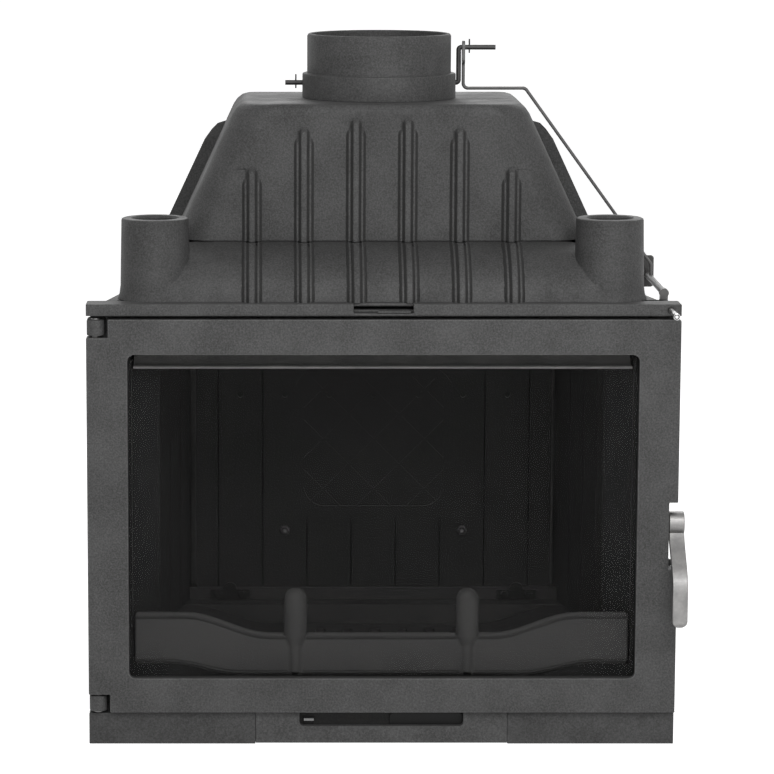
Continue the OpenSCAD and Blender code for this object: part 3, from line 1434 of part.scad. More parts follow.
base_plinth();
front_frame();
left_wall();
right_wall();
rear_wall();
hearth_floor();
grate();
log_retainer();
fireback();
fireback_clamps();
fireback_bolts();
left_lining();
right_lining();
baffle_plate();
air_wash_deflector();
shoulder();
smoke_dome();
rear_hood();
flue_collar();
wall_bolts();
hinge_pins();
latch_keeper();
keeper_roller();
rod_guide();
door_frame();
door_glass();
glass_gasket();
glass_clips();
clip_screws();
door_rope_seal();
handle_pin();
door_handle();
damper_shaft();
damper_blade();
blade_screws();
damper_cotters();
pull_knob();
pull_rod();
rod_barrel();
link_wire();
drawer_front();
drawer_register();
drawer_screws();
ash_pan();
primary_air_slide();
secondary_air_slide();
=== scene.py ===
"""A cast-iron fireplace insert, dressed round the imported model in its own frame.

Metres; x runs to the right, y to the back and z up from the middle of the base's underside.
"""
import math

import bmesh
import bpy
from mathutils import Matrix, Vector


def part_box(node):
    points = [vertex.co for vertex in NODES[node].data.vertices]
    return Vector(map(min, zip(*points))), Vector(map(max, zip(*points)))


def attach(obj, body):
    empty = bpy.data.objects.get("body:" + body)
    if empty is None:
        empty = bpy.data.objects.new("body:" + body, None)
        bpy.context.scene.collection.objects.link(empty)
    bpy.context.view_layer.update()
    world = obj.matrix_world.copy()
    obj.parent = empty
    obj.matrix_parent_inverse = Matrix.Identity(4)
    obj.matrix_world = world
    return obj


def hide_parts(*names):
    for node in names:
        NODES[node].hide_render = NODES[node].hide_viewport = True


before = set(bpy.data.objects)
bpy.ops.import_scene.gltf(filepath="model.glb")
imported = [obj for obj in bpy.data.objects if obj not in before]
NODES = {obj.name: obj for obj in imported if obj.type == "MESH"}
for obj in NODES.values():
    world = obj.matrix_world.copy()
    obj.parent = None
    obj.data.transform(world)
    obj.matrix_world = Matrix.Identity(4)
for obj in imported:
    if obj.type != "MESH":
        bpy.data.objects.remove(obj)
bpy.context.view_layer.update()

MM = 0.001


def put(name, data):
    """A new object in the scene."""
    thing = bpy.data.objects.new(name, data)
    bpy.context.scene.collection.objects.link(thing)
    return thing


# Camera

PHOTO_WIDTH = 774
FOCAL_PX = 3420
PRINCIPAL_PX = 267.9
RISE_PX = 1
SENSOR = 36.0
CAMERA_AT = Vector((-0.136, -4.198, 1.049))
CAMERA_DROP = math.radians(8.8)


def make_camera():
    """The photograph's view: a long lens, a little above and to the left of the middle."""
    data = bpy.data.cameras.new("camera")
    data.sensor_width = SENSOR
    data.lens = SENSOR * FOCAL_PX / PHOTO_WIDTH
    data.shift_x = (PHOTO_WIDTH / 2 - PRINCIPAL_PX) / PHOTO_WIDTH
    data.shift_y = RISE_PX / PHOTO_WIDTH
    data.clip_end = 60
    camera = put("camera", data)
    camera.location = CAMERA_AT
    camera.rotation_euler = (math.pi / 2 - CAMERA_DROP, 0, 0)
    bpy.context.scene.camera = camera


# Finishes

# Blender's noise lies mostly within the first span, and a fine one within the second
NOISE_SPAN = (0.3, 0.7)
SAND_SPAN = (0.35, 0.65)


class Wire:
    """A socket in a node tree; arithmetic on it adds the Math nodes."""

    def __init__(self, graph, socket):
        self.graph = graph
        self.socket = socket

    def math(self, operation, *operands):
        return self.graph.node("ShaderNodeMath", {"operation": operation}, operands)

    def __abs__(self):
        return self.math("ABSOLUTE", self)

    def __add__(self, other):
        return self.math("ADD", self, other)

    def __sub__(self, other):
        return self.math("SUBTRACT", self, other)

    def __mul__(self, other):
        return self.math("MULTIPLY", self, other)

    def __mod__(self, other):
        return self.math("MODULO", self, other)

    __radd__ = __add__
    __rmul__ = __mul__

    def root(self):
        return self.math("SQRT", self)

    def larger(self, other):
        return self.math("MAXIMUM", self, other)

    def ramp(self, low, high, start=0.0, end=1.0):
        """Carries the span from start to end onto the span from low to high, with clamped ends."""
        settings = {"interpolation_type": "SMOOTHSTEP"}
        return self.graph.node("ShaderNodeMapRange", settings, {
            "Value": self, "From Min": start, "From Max": end, "To Min": low, "To Max": high})

    def spread(self, low, high, span=NOISE_SPAN):
        """Carries what noise gives onto the whole span from low to high."""
        return self.ramp(low, high, *span)


class Graph:
    """A node tree, filled one node at a time."""

    def __init__(self, tree):
        self.tree = tree

    def join(self, socket, value):
        if isinstance(value, Wire):
            self.tree.links.new(value.socket, socket)
        elif isinstance(value, (tuple, list)) and len(value) == 3 and len(socket.default_value) == 4:
            socket.default_value = (*value, 1)
        else:
            socket.default_value = value

    def node(self, kind, settings=None, inputs=(), output=0):
        node = self.tree.nodes.new(kind)
        for key, value in (settings or {}).items():
            setattr(node, key, value)
        named = inputs.items() if isinstance(inputs, dict) else enumerate(inputs)
        for key, value in named:
            self.join(node.inputs[key], value)
        return Wire(self, node.outputs[output])

    def seen(self):
        """1 on the rays that reach the eye straight, from metal or through glass, and 0 on light."""
        kinds = ("Camera", "Glossy", "Transmission")
        camera, glossy, passed = (self.node("ShaderNodeLightPath", output=f"Is {kind} Ray") for kind in kinds)
        return camera.larger(glossy).larger(passed)


class Finish(Graph):
    """A material with one Principled shader and the nodes that feed it."""

    def __init__(self, name, **plain):
        self.material = bpy.data.materials.new(name)
        self.material.use_nodes = True
        super().__init__(self.material.node_tree)
        self.shader = self.tree.nodes["Principled BSDF"]
        self.set(**plain)

    def set(self, **values):
        for key, value in values.items():
            self.join(self.shader.inputs[key.replace("_", " ")], value)

    def place(self, stretch=(1, 1, 1)):
        """Object coordinates, stretched along the axes."""
        where = self.node("ShaderNodeTexCoord", output="Object")
        return self.node("ShaderNodeMapping", inputs={"Vector": where, "Scale": stretch})

    def axis(self, index):
        """The distance along x, y or z from the origin, in metres."""
        where = self.node("ShaderNodeTexCoord", output="Object")
        return self.node("ShaderNodeSeparateXYZ", inputs=(where,), output=index)

    def noise(self, grain, detail=2.0, rough=0.5, stretch=(1, 1, 1)):
        """Noise whose lumps are about grain metres across, from 0 to 1."""
        return self.node("ShaderNodeTexNoise", inputs={
            "Vector": self.place(stretch), "Scale": 1 / grain, "Detail": detail, "Roughness": rough})

    def speckle(self, grain, share=0.3):
        """Bright dots about grain metres across, that cover roughly the given share."""
        return self.noise(grain, detail=0).ramp(0, 1, 0.68 - share / 2, 0.78 - share / 2)

    def blend(self, share, low, high):
        """A colour between low and high; the node's colour sockets have no names of their own."""
        settings = {"data_type": "RGBA"}
        return self.node("ShaderNodeMix", settings, {0: share, 6: low, 7: high}, output=2)

    def relief(self, height, depth):
        """A bump of the given depth in metres."""
        return self.node("ShaderNodeBump", inputs={"Distance": depth, "Height": height})


def grey(value, warmth=0.0):
    """A near-neutral colour, warmer where warmth is above zero."""
    return (value * (1 + warmth), value, value * (1 - warmth))


def cast_iron(name, tone, roughness=0.6, inside=None, soot_and_shade_tone=0.012):
    """Sand-cast iron under matt stove paint: a fine grain with pale specks and soft mottling.

    inside builds a mask that is 1 where the iron is darker: the sooty walls inside the firebox, painted shade
    on the ribs' flanks, and a near-black face on the frame within the door's seal.
    """
    iron = Finish(name, Specular_IOR_Level=0.28)
    sand = iron.noise(2.2 * MM, detail=3, rough=0.7)
    dust = iron.speckle(1.9 * MM)
    mottle = iron.noise(55 * MM, detail=4, rough=0.6)
    share = mottle.spread(0, 0.28) + sand.spread(0, 0.58, SAND_SPAN) + dust * 0.25
    colour = iron.blend(share, grey(tone * 0.58, 0.01), grey(tone * 1.44))
    rough = mottle.spread(roughness + 0.06, roughness - 0.06)
    # Where the mask is 1 the colour darkens: sooty walls, and painted shade on the ribs' flanks.
    if inside:
        mask = inside(iron)
        soot_and_shade = iron.blend(sand.spread(0, 1), grey(soot_and_shade_tone * 0.8), grey(soot_and_shade_tone * 1.3, 0.02))
        colour = iron.blend(mask, colour, soot_and_shade)
        rough = rough + mask * 0.2
    iron.set(Base_Color=colour, Roughness=rough, Normal=iron.relief(sand * 0.7 + dust * 0.3, 0.22 * MM))
    return iron.material


def sooty_iron(name, tone, specular=0.12, stain_share=0.6, black=None):
    """Bare or fired iron inside: darker, duller, with ash in its low places.

    black builds a mask that is 1 where painted shade turns the iron nearly black.
    """
    iron = Finish(name, Specular_IOR_Level=specular)
    sand = iron.noise(2.4 * MM, detail=3, rough=0.7)
    stain = iron.noise(45 * MM, detail=5, rough=0.65)
    share = stain.spread(0, stain_share) + sand.spread(0, 1 - stain_share, SAND_SPAN)
    colour = iron.blend(share, grey(tone * 0.72), grey(tone * 1.3, 0.02))
    # Painted shade: where the mask is 1 the colour goes nearly black.
    if black:
        colour = iron.blend(black(iron), colour, grey(tone * 0.15))
    iron.set(Base_Color=colour, Roughness=stain.spread(0.66, 0.82), Normal=iron.relief(sand, 0.25 * MM))
    return iron.material


def steel(name, tone, roughness, along=(1, 1, 1), metallic=1.0):
    """Drawn or brushed steel; its scratches run along the axis with the smallest stretch."""
    metal = Finish(name, Metallic=metallic)
    scratch = metal.noise(0.5 * MM, detail=2, stretch=along)
    share = metal.noise(18 * MM, detail=3).spread(0, 0.8) + metal.speckle(3 * MM, 0.2) * 0.2
    metal.set(
        Base_Color=metal.blend(share, grey(tone * 0.8, 0.01), grey(tone * 1.15, 0.02)),
        Roughness=scratch.spread(roughness - 0.06, roughness + 0.08),
        Normal=metal.relief(scratch, 0.02 * MM),
    )
    return metal.material


def polished(name):
    """Bright chrome with the faintest haze."""
    metal = Finish(name, Metallic=1.0, Base_Color=grey(0.82))
    metal.set(Roughness=metal.noise(6 * MM, detail=2).spread(0.08, 0.16))
    return metal.material


def bolt_iron(name, tone, bright_tone, glint_r):
    """Blackened bolts, each with a painted highlight in the middle of its head."""
    bolt = Finish(name, Roughness=0.5, Specular_IOR_Level=0.3)
    # A painted highlight: the middle of each head is lighter.
    middle = from_bolts(bolt).ramp(1, 0, glint_r * 0.8, glint_r * 1.2)
    bolt.set(Base_Color=bolt.blend(middle, grey(tone), grey(bright_tone)))
    return bolt.material


def slide_iron(name, tone, bright_tone, tab_y):
    """A black air slide whose tab, in front of tab_y, is bare bright metal."""
    slide = Finish(name, Roughness=0.5, Specular_IOR_Level=0.2)
    tab = slide.axis(1).ramp(1, 0, tab_y - 0.2 * MM, tab_y)
    slide.set(Base_Color=slide.blend(tab, grey(tone), grey(bright_tone)))
    return slide.material


def clear_glass(name):
    """Ceramic glass: clear, faintly warm, with a breath of haze here and there."""
    glass = Finish(name, Specular_IOR_Level=0.5, Base_Color=grey(0.015, 0.06))
    haze = glass.noise(80 * MM, detail=4, rough=0.6)
    glass.set(Roughness=haze.spread(0.03, 0.07), Alpha=haze.spread(0.03, 0.05))
    return glass.material


def glass_fibre(name, yarn_width, dark, light):
    """Glass-fibre yarn, fuzzy, in fine slanting strands."""
    rope = Finish(name, Roughness=0.95)
    wave = {"Vector": rope.place(), "Scale": 1 / (4 * yarn_width), "Distortion": 1.5, "Detail": 1.0}
    yarn = rope.node("ShaderNodeTexWave", {"bands_direction": "DIAGONAL"}, wave, output="Fac")
    fuzz = rope.noise(0.8 * MM, detail=2)
    rope.set(
        Base_Color=rope.blend(yarn * 0.6 + fuzz * 0.4, grey(dark, 0.03), grey(light, 0.02)),
        Normal=rope.relief(yarn * 0.6 + fuzz * 0.5, yarn_width / 5),
    )
    return rope.material


# Where a finish changes over a casting

SEAL_REACH = 322 * MM
SEAL_HEAD = 505 * MM
WALL_TAPER = 0.2016
WALL_INSIDE = 277.8 * MM
WALL_BACK = 189 * MM
RIB_PITCH = 62 * MM
BOLT_ACROSS = 114 * MM
BOLT_UP = 192 * MM
BOLT_RING = 7.5 * MM
FIREBACK_FACE = 137 * MM
TAB_DEPTH = 2.5 * MM
TAB_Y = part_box("primary_air_slide")[0][1] + TAB_DEPTH


def inside_frame(iron):
    """What the door covers: the frame's face within the rope seal, and the jambs behind it."""
    return (abs(iron.axis(0)).ramp(1, 0, SEAL_REACH, SEAL_REACH + 2 * MM)
            * iron.axis(2).ramp(1, 0, SEAL_HEAD, SEAL_HEAD + 2 * MM))


def inside_walls(iron):
    """The faces of the side and rear walls that look into the firebox."""
    away = abs(iron.axis(0)) + iron.axis(1) * WALL_TAPER
    return (away.ramp(1, 0, WALL_INSIDE, WALL_INSIDE + 1 * MM)
            * iron.axis(1).ramp(1, 0, WALL_BACK - 1 * MM, WALL_BACK))


def rib_flank_shade(iron):
    """The steep flanks of the ribs, darkened as painted shade."""
    away = abs(abs(iron.axis(0)) % RIB_PITCH - RIB_PITCH / 2)
    crest = away.ramp(0, 1, 2.8 * MM, 4.2 * MM) * away.ramp(1, 0, 6.2 * MM, 7.2 * MM)
    band = away.ramp(0, 1, 8.4 * MM, 9.6 * MM)
    return (crest + band) * 0.85


def from_bolts(iron):
    """The distance from the nearer of the fireback's two bolts, as seen from the front."""
    aside = abs(iron.axis(0)) - BOLT_ACROSS
    above = iron.axis(2) - BOLT_UP
    return (aside * aside + above * above).root()


def fireback_painted_shade(iron):
    """The fireback's grooves and holes, and a ring round each bolt, darkened as painted shade."""
    grooves = iron.axis(1).ramp(0, 1, FIREBACK_FACE + 0.05 * MM, FIREBACK_FACE + 0.25 * MM)
    away = from_bolts(iron)
    inner = away.ramp(0, 0.8, BOLT_RING - 2.5 * MM, BOLT_RING - 1 * MM)
    return grooves.larger(inner * away.ramp(1, 0, BOLT_RING, BOLT_RING + 1.5 * MM))


# The stove wears one paint; the dome, collar and base take darker tones than the door as painted shade.
IRON = cast_iron("iron_painted", 0.07)
# Within the door's rope seal the frame's face and jambs are near black.
FRAME_IRON = cast_iron("iron_frame", 0.068, inside=inside_frame, soot_and_shade_tone=0.003)
WALL_IRON = cast_iron("iron_walls", 0.074, inside=inside_walls, soot_and_shade_tone=0.016)
DOME_IRON_SHADED = cast_iron("iron_dome", 0.057)
# The ribs' flanks are darkened as painted shade.
RIB_IRON = cast_iron("iron_ribs", 0.064, inside=rib_flank_shade, soot_and_shade_tone=0.028)
COLLAR_IRON_SHADED = cast_iron("iron_collar", 0.064)
BASE_IRON_SHADED = cast_iron("iron_base", 0.056)
# Lighter iron for rounded edges: wear, and painted highlight.
WORN_HIGHLIT_IRON = cast_iron("iron_worn_highlit_edge", 0.1, roughness=0.45)
SOOT = sooty_iron("iron_sooty", 0.014)
LINING_IRON = sooty_iron("iron_lining", 0.024)
HEARTH_IRON = sooty_iron("iron_hearth", 0.03)
FIREBACK_IRON = sooty_iron("iron_fireback", 0.018, stain_share=0.5, black=fireback_painted_shade)
REGISTER_IRON = sooty_iron("iron_register", 0.034, specular=0.2)
SLIDE_IRON = slide_iron("iron_slide", 0.006, 0.4, TAB_Y)
# Painted light: the deflector's lip takes a tone far lighter than the other fired iron.
LIT_LIP_IRON = sooty_iron("iron_lip", 0.22, specular=0.2)
GRATE_IRON = sooty_iron("iron_retainer", 0.042, specular=0.25)
DULL_STEEL = steel("steel_dull", 0.14, 0.45)
ROD_STEEL = steel("steel_rod", 0.11, 0.42, metallic=0.25)
BOLT_IRON = bolt_iron("iron_bolts", 0.006, 0.1, 2.2 * MM)
BLACK_STEEL = steel("steel_black", 0.05, 0.5, metallic=0.6)
SATIN = steel("steel_satin", 0.22, 0.42, along=(1, 1, 0.1))
CHROME = polished("chrome_knob")
GLASS = clear_glass("ceramic_glass")
ROPE = glass_fibre("glass_fibre_rope", 0.5 * MM, 0.16, 0.4)
TAPE = glass_fibre("glass_fibre_tape", 0.35 * MM, 0.008, 0.03)


# Carried-over pieces: finishes and the rounded edges of real castings

CREASE = math.radians(34)
SHARP = math.radians(40)
FLAT = math.radians(0.5)
WELD_REACH = 0.01 * MM
SEAM_REACH = 0.005 * MM
CUT_REACH = 0.001 * MM


def only(kind, parts):
    """The vertices, edges or faces among an operator's results."""
    return [part for part in parts if isinstance(part, kind)]


def crease_group():
    """Geometry nodes that keep every edge sharp whose faces meet at more than the crease angle."""
    group = bpy.data.node_groups.new("crease_by_angle", "GeometryNodeTree")
    group.interface.new_socket("Geometry", in_out="INPUT", socket_type="NodeSocketGeometry")
    group.interface.new_socket("Geometry", in_out="OUTPUT", socket_type="NodeSocketGeometry")
    start = group.nodes.new("NodeGroupInput")
    angle = group.nodes.new("GeometryNodeInputMeshEdgeAngle")
    steep = group.nodes.new("FunctionNodeCompare")
    steep.operation = "GREATER_THAN"
    steep.inputs[1].default_value = CREASE
    shade = group.nodes.new("GeometryNodeSetShadeSmooth")
    shade.domain = "EDGE"
    shade.inputs["Shade Smooth"].default_value = False
    end = group.nodes.new("NodeGroupOutput")
    group.links.new(start.outputs[0], shade.inputs["Geometry"])
    group.links.new(angle.outputs["Unsigned Angle"], steep.inputs[0])
    group.links.new(steep.outputs[0], shade.inputs["Selection"])
    group.links.new(shade.outputs[0], end.inputs[0])
    return group


CREASE_GROUP = crease_group()


def round_edges(piece, edge, segments, worn_and_highlit=False, flat=False):
    """Rounds the sharp edges of a piece, and keeps its flat faces flat in the shading.

    worn_and_highlit gives the rounded edges the piece's second material, lighter for wear and as painted
    highlight.
    flat joins the slivers of its flat faces first, for castings whose flat faces have no openings.
    """
    weld = piece.modifiers.new("weld", "WELD")
    weld.merge_threshold = WELD_REACH
    if flat:
        join = piece.modifiers.new("flat_faces", "DECIMATE")
        join.decimate_type = "DISSOLVE"
        join.angle_limit = FLAT
    if edge:
        bevel = piece.modifiers.new("rounded_edges", "BEVEL")
        bevel.width = edge
        bevel.segments = segments
        bevel.limit_method = "ANGLE"
        bevel.angle_limit = SHARP
        bevel.material = 1 if worn_and_highlit else -1
        bevel.use_clamp_overlap = False
    crease = piece.modifiers.new("creases", "NODES")
    crease.node_group = CREASE_GROUP
    even = piece.modifiers.new("even_normals", "WEIGHTED_NORMAL")
    even.keep_sharp = True


def dress(names, material, edge=0.0, segments=2, flat=False):
    """Gives CAD nodes a finish and, where edge is set, edges rounded to that radius."""
    for name in names:
        piece = NODES[name]
        piece.data.materials.clear()
        piece.data.materials.append(material)
        piece.data.polygons.foreach_set("use_smooth", [True] * len(piece.data.polygons))
        if "custom_normal" in piece.data.attributes:
            piece.data.attributes.remove(piece.data.attributes["custom_normal"])
        round_edges(piece, edge, segments, flat=flat)


def add_piece(name, data, material, body, node=None):
    """Puts a mesh or a curve on a body; it takes the place of a CAD node where one is named."""
    data.materials.append(material)
    piece = put(name, data)
    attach(piece, body)
    if node:
        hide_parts(node)
    return piece


def cast_piece(name, bed, material, body, node=None):
    """Makes a bmesh a smooth-shaded piece."""
    mesh = bpy.data.meshes.new(name)
    bed.to_mesh(mesh)
    bed.free()
    mesh.polygons.foreach_set("use_smooth", [True] * len(mesh.polygons))
    return add_piece(name, mesh, material, body, node)


def recast(node, name, material, body, change):
    """A welded copy of a CAD node that change reshapes, in the node's place."""
    bed = bmesh.new()
    bed.from_mesh(NODES[node].data)
    bmesh.ops.remove_doubles(bed, verts=bed.verts, dist=WELD_REACH)
    change(bed)
    return cast_piece(name, bed, material, body, node)


def cut_off(bed, at, outwards):
    """Cuts away what lies beyond a plane, and closes the cut."""
    cut = bmesh.ops.bisect_plane(bed, geom=bed.verts[:] + bed.edges[:] + bed.faces[:], dist=CUT_REACH,
                                 plane_co=at, plane_no=outwards, clear_outer=True)
    rim = only(bmesh.types.BMEdge, cut["geom_cut"])
    bmesh.ops.edgenet_fill(bed, edges=[edge for edge in rim if edge.is_boundary])


def close(bed):
    """Merges the seams, fills what is open and turns the faces outwards."""
    bmesh.ops.remove_doubles(bed, verts=bed.verts, dist=SEAM_REACH)
    bmesh.ops.edgenet_fill(bed, edges=[edge for edge in bed.edges if len(edge.link_faces) < 2])
    bmesh.ops.recalc_face_normals(bed, faces=bed.faces)


dress(["front_frame"], FRAME_IRON, 1.6 * MM)
dress(["drawer_front"], IRON, 0.8 * MM)
dress(["left_wall", "right_wall", "rear_wall"], WALL_IRON, 1.0 * MM)
dress(["base_plinth"], BASE_IRON_SHADED, 1.2 * MM)
dress(["smoke_dome"], DOME_IRON_SHADED, 0.8 * MM, flat=True)
dress(["shoulder"], DOME_IRON_SHADED, 0.35 * MM, flat=True)
dress(["flue_collar"], COLLAR_IRON_SHADED, 0.8 * MM)
dress(["fireback"], FIREBACK_IRON)
dress(["hearth_floor", "grate"], HEARTH_IRON, 0.4 * MM)
dress(["left_lining", "right_lining"], LINING_IRON, 0.4 * MM)
dress(["baffle_plate", "fireback_clamps", "damper_blade"], SOOT, 0.4 * MM)
dress(["drawer_register"], REGISTER_IRON, 0.4 * MM)
dress(["primary_air_slide"], SLIDE_IRON, 0.4 * MM)
dress(["secondary_air_slide"], IRON, 0.4 * MM)
dress(["air_wash_deflector"], LIT_LIP_IRON, 0.5 * MM)
dress(["log_retainer"], GRATE_IRON, 3 * MM, segments=4, flat=True)
dress(["fireback_bolts"], BOLT_IRON, 0.4 * MM)
dress(["rod_guide", "wall_bolts"], BLACK_STEEL, 0.4 * MM)
dress(["latch_keeper", "blade_screws", "ash_pan"], DULL_STEEL, 0.3 * MM)
dress(["glass_clips"], SOOT, 0.3 * MM)
dress(["damper_shaft", "damper_cotters"], BLACK_STEEL)
dress(["pull_rod", "rod_barrel", "link_wire"], ROD_STEEL)
dress(["hinge_pins", "keeper_roller", "clip_screws", "handle_pin", "drawer_screws"], SATIN, 0.3 * MM)
dress(["door_glass"], GLASS)


# Castings that the solids hold in a plainer form

HOOD_WIDENING = 1.012
HOOD_ASIDE = 3 * MM
SILL_HALF = 302.5 * MM
SILL_HEIGHTS = (77 * MM, 95 * MM)
SILL_DROP = 4 * MM


def widen_hood(bed):
    """Widens the hood, and moves it a little to the right."""
    bmesh.ops.scale(bed, verts=bed.verts, vec=(HOOD_WIDENING, 1, 1))
    bmesh.ops.translate(bed, verts=bed.verts, vec=(HOOD_ASIDE, 0, 0))


def lower_sill(bed):
    """Moves the lower edge of the window, with its corners, a little down."""
    low, high = SILL_HEIGHTS
    sill = [vert for vert in bed.verts if abs(vert.co.x) < SILL_HALF and low < vert.co.z < high]
    bmesh.ops.translate(bed, verts=sill, vec=(0, 0, -SILL_DROP))


hood = recast("rear_hood", "rear_hood_cast", DOME_IRON_SHADED, "stove_body", widen_hood)
round_edges(hood, 0.8 * MM, 2, flat=True)
door_casting = recast("door_frame", "door_frame_cast", IRON, "door", lower_sill)
door_casting.data.materials.append(WORN_HIGHLIT_IRON)
round_edges(door_casting, 1.2 * MM, 2, worn_and_highlit=True)

LEVER_MIDDLE = 349 * MM
LEVER_END_Z = 153 * MM
LEVER_HALF = 9 * MM
LEVER_CUTS = 6


def round_lever(bed):
    """Cuts the lever's lower end to a half circle, as seen from the front."""
    centre = Vector((LEVER_MIDDLE, 0, LEVER_END_Z + LEVER_HALF))
    for k in range(LEVER_CUTS):
        turn = math.pi / 2 * (k + 0.5) / LEVER_CUTS
        for side in (1, -1):
            outwards = Vector((side * math.sin(turn), 0, -math.cos(turn)))
            cut_off(bed, centre + outwards * LEVER_HALF, outwards)


lever = recast("door_handle", "door_handle_lever", SATIN, "handle", round_lever)
round_edges(lever, 0.9 * MM, 3)


# Ribs on the dome and the shoulder: a low band and a tall crest, both with half-round heads.
# Their half profiles run from the foot to the middle, as millimetres aside and out from the casting.

DOME_Y = -125 * MM
DOME_FOOT = 596.6 * MM
RIB_BAND = ((12.6, -2), (12, 0), (10.8, 0.9), (9.2, 3.2), (8.6, 3.9), (7.8, 4.2), (0, 4.2))
RIB_CREST = ((7, -2), (6.8, 3.9), (5.4, 5.2), (3.6, 9.0), (3, 9.6), (2.2, 9.9), (0, 10))
RIB_TOPS = (743 * MM, 732 * MM, 684 * MM)
BAND_DROP = 8 * MM
HEAD_STEPS = 14
SHOULDER_FOOT = Vector((0, -198, 532)) * MM
SHOULDER_REACH = Vector((0, 73, 64)) * MM
SHOULDER_TURN = math.radians(62)
SHOULDER_STEPS = 14
SHOULDER_TOP = 596 * MM


def upright_rib(bed, profile, x, top):
    """A bar up the dome's face: its half profile spun over the head, then drawn down to the foot."""
    centre = Vector((x, DOME_Y, top - profile[0][0] * MM))
    points = [bed.verts.new(centre + Vector((half * MM, -out * MM, 0))) for half, out in profile]
    row = [bed.edges.new(pair) for pair in zip(points, points[1:])]
    spun = bmesh.ops.spin(bed, geom=points + row, cent=centre, axis=(0, -1, 0), angle=math.pi,
                          steps=HEAD_STEPS)
    feet = []
    for edges in (row, only(bmesh.types.BMEdge, spun["geom_last"])):
        ends = only(bmesh.types.BMVert, bmesh.ops.extrude_edge_only(bed, edges=edges)["geom"])
        bmesh.ops.translate(bed, verts=ends, vec=(0, 0, DOME_FOOT - centre.z))
        feet.append(max(ends, key=lambda vert: abs(vert.co.x - x)))
    bed.edges.new(feet)


def shoulder_rib(bed, profile, x):
    """A bar over the shoulder: its profile drawn along the curve."""
    outline = [(-half, out) for half, out in profile] + [(half, out) for half, out in profile[-2::-1]]
    here = SHOULDER_FOOT.copy()
    corners = [bed.verts.new(here + Vector((x + half * MM, -out * MM, 0))) for half, out in outline]
    face = bed.faces.new(corners)
    lean = 0.0
    for k in range(1, SHOULDER_STEPS + 1):
        turn = SHOULDER_TURN * k / SHOULDER_STEPS
        away = (1 - math.cos(turn)) / (1 - math.cos(SHOULDER_TURN))
        up = math.sin(turn) / math.sin(SHOULDER_TURN)
        there = SHOULDER_FOOT + Vector((0, SHOULDER_REACH.y * away, SHOULDER_REACH.z * up))
        rise = SHOULDER_REACH.z * math.cos(turn) / math.sin(SHOULDER_TURN)
        run = SHOULDER_REACH.y * math.sin(turn) / (1 - math.cos(SHOULDER_TURN))
        tilt = math.atan2(run, rise)
        drawn = bmesh.ops.extrude_face_region(bed, geom=[face])["geom"]
        ends = only(bmesh.types.BMVert, drawn)
        face = only(bmesh.types.BMFace, drawn)[0]
        bmesh.ops.rotate(bed, verts=ends, cent=here, matrix=Matrix.Rotation(lean - tilt, 3, "X"))
        bmesh.ops.translate(bed, verts=ends, vec=there - here)
        here = there
        lean = tilt


def place_ribs():
    dome = bmesh.new()
    shoulder = bmesh.new()
    for k, top in enumerate(RIB_TOPS):
        across = (k + 0.5) * RIB_PITCH
        for x in (across, -across):
            upright_rib(dome, RIB_CREST, x, top)
            upright_rib(dome, RIB_BAND, x, top - BAND_DROP)
            shoulder_rib(shoulder, RIB_CREST, x)
            shoulder_rib(shoulder, RIB_BAND, x)
    close(dome)
    cut_off(shoulder, (0, 0, SHOULDER_TOP), (0, 0, 1))
    close(shoulder)
    for name, bed in (("dome_ribs", dome), ("shoulder_ribs", shoulder)):
        ribs = cast_piece(name, bed, RIB_IRON, "stove_body")
        round_edges(ribs, 0, 0)


place_ribs()


# The damper's knob: a turned chrome barrel with a groove and a ring cut in its end, both darkened as painted
# shade.
# Its profile gives the radius and the depth behind the end, in millimetres, and KNOB_DARK gives
# the least and largest radius and depth of the two dark places.

KNOB_PROFILE = ((0, 0.6), (1.9, 0.6), (2.1, 1.3), (2.9, 1.3), (3.1, 0.2), (3.6, 0.5), (4, 1.5), (4, 5.4),
                (3.2, 6.0), (3.2, 7.4), (4, 8.0), (4, 26.2), (3.4, 27.2), (2.6, 28), (0, 28))
KNOB_DARK = ((2.0, 3.0, 0, 2), (0, 3.7, 5.4, 8.0))
KNOB_STEPS = 32


def turned_knob(name, node, body):
    low, high = (Vector(corner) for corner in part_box(node))
    middle = Vector(((low.x + high.x) / 2, low.y, (low.z + high.z) / 2))
    bed = bmesh.new()
    points = [bed.verts.new(middle + Vector((radius * MM, depth * MM, 0))) for radius, depth in KNOB_PROFILE]
    row = [bed.edges.new(pair) for pair in zip(points, points[1:])]
    bmesh.ops.spin(bed, geom=points + row, cent=middle, axis=(0, 1, 0), angle=math.tau, steps=KNOB_STEPS,
                   use_merge=True)
    bmesh.ops.remove_doubles(bed, verts=bed.verts, dist=SEAM_REACH)
    bmesh.ops.recalc_face_normals(bed, faces=bed.faces)
    for face in bed.faces:
        offset = (face.calc_center_median() - middle) / MM
        radius = math.hypot(offset.x, offset.z)
        # Painted shade: the faces in the groove and the ring take the black steel.
        if any(r0 < radius < r1 and d0 < offset.y < d1 for r0, r1, d0, d1 in KNOB_DARK):
            face.material_index = 1
    knob = cast_piece(name, bed, CHROME, body, node)
    knob.data.materials.append(BLACK_STEEL)
    round_edges(knob, 0, 0)


turned_knob("pull_knob_turned", "pull_knob", "pull")


# Soft seals: a braided rope in the door's back and a woven tape under the glass

ROPE_TURN = 40 * MM
BRAID_PITCH = 26 * MM
BRAID_STEPS = 24
STRAND_R = 1.45 * MM
STRAND_LIFT = 0.35 * MM
GASKET_WIDTH = 8.25 * MM
GASKET_EDGE = 0.4 * MM


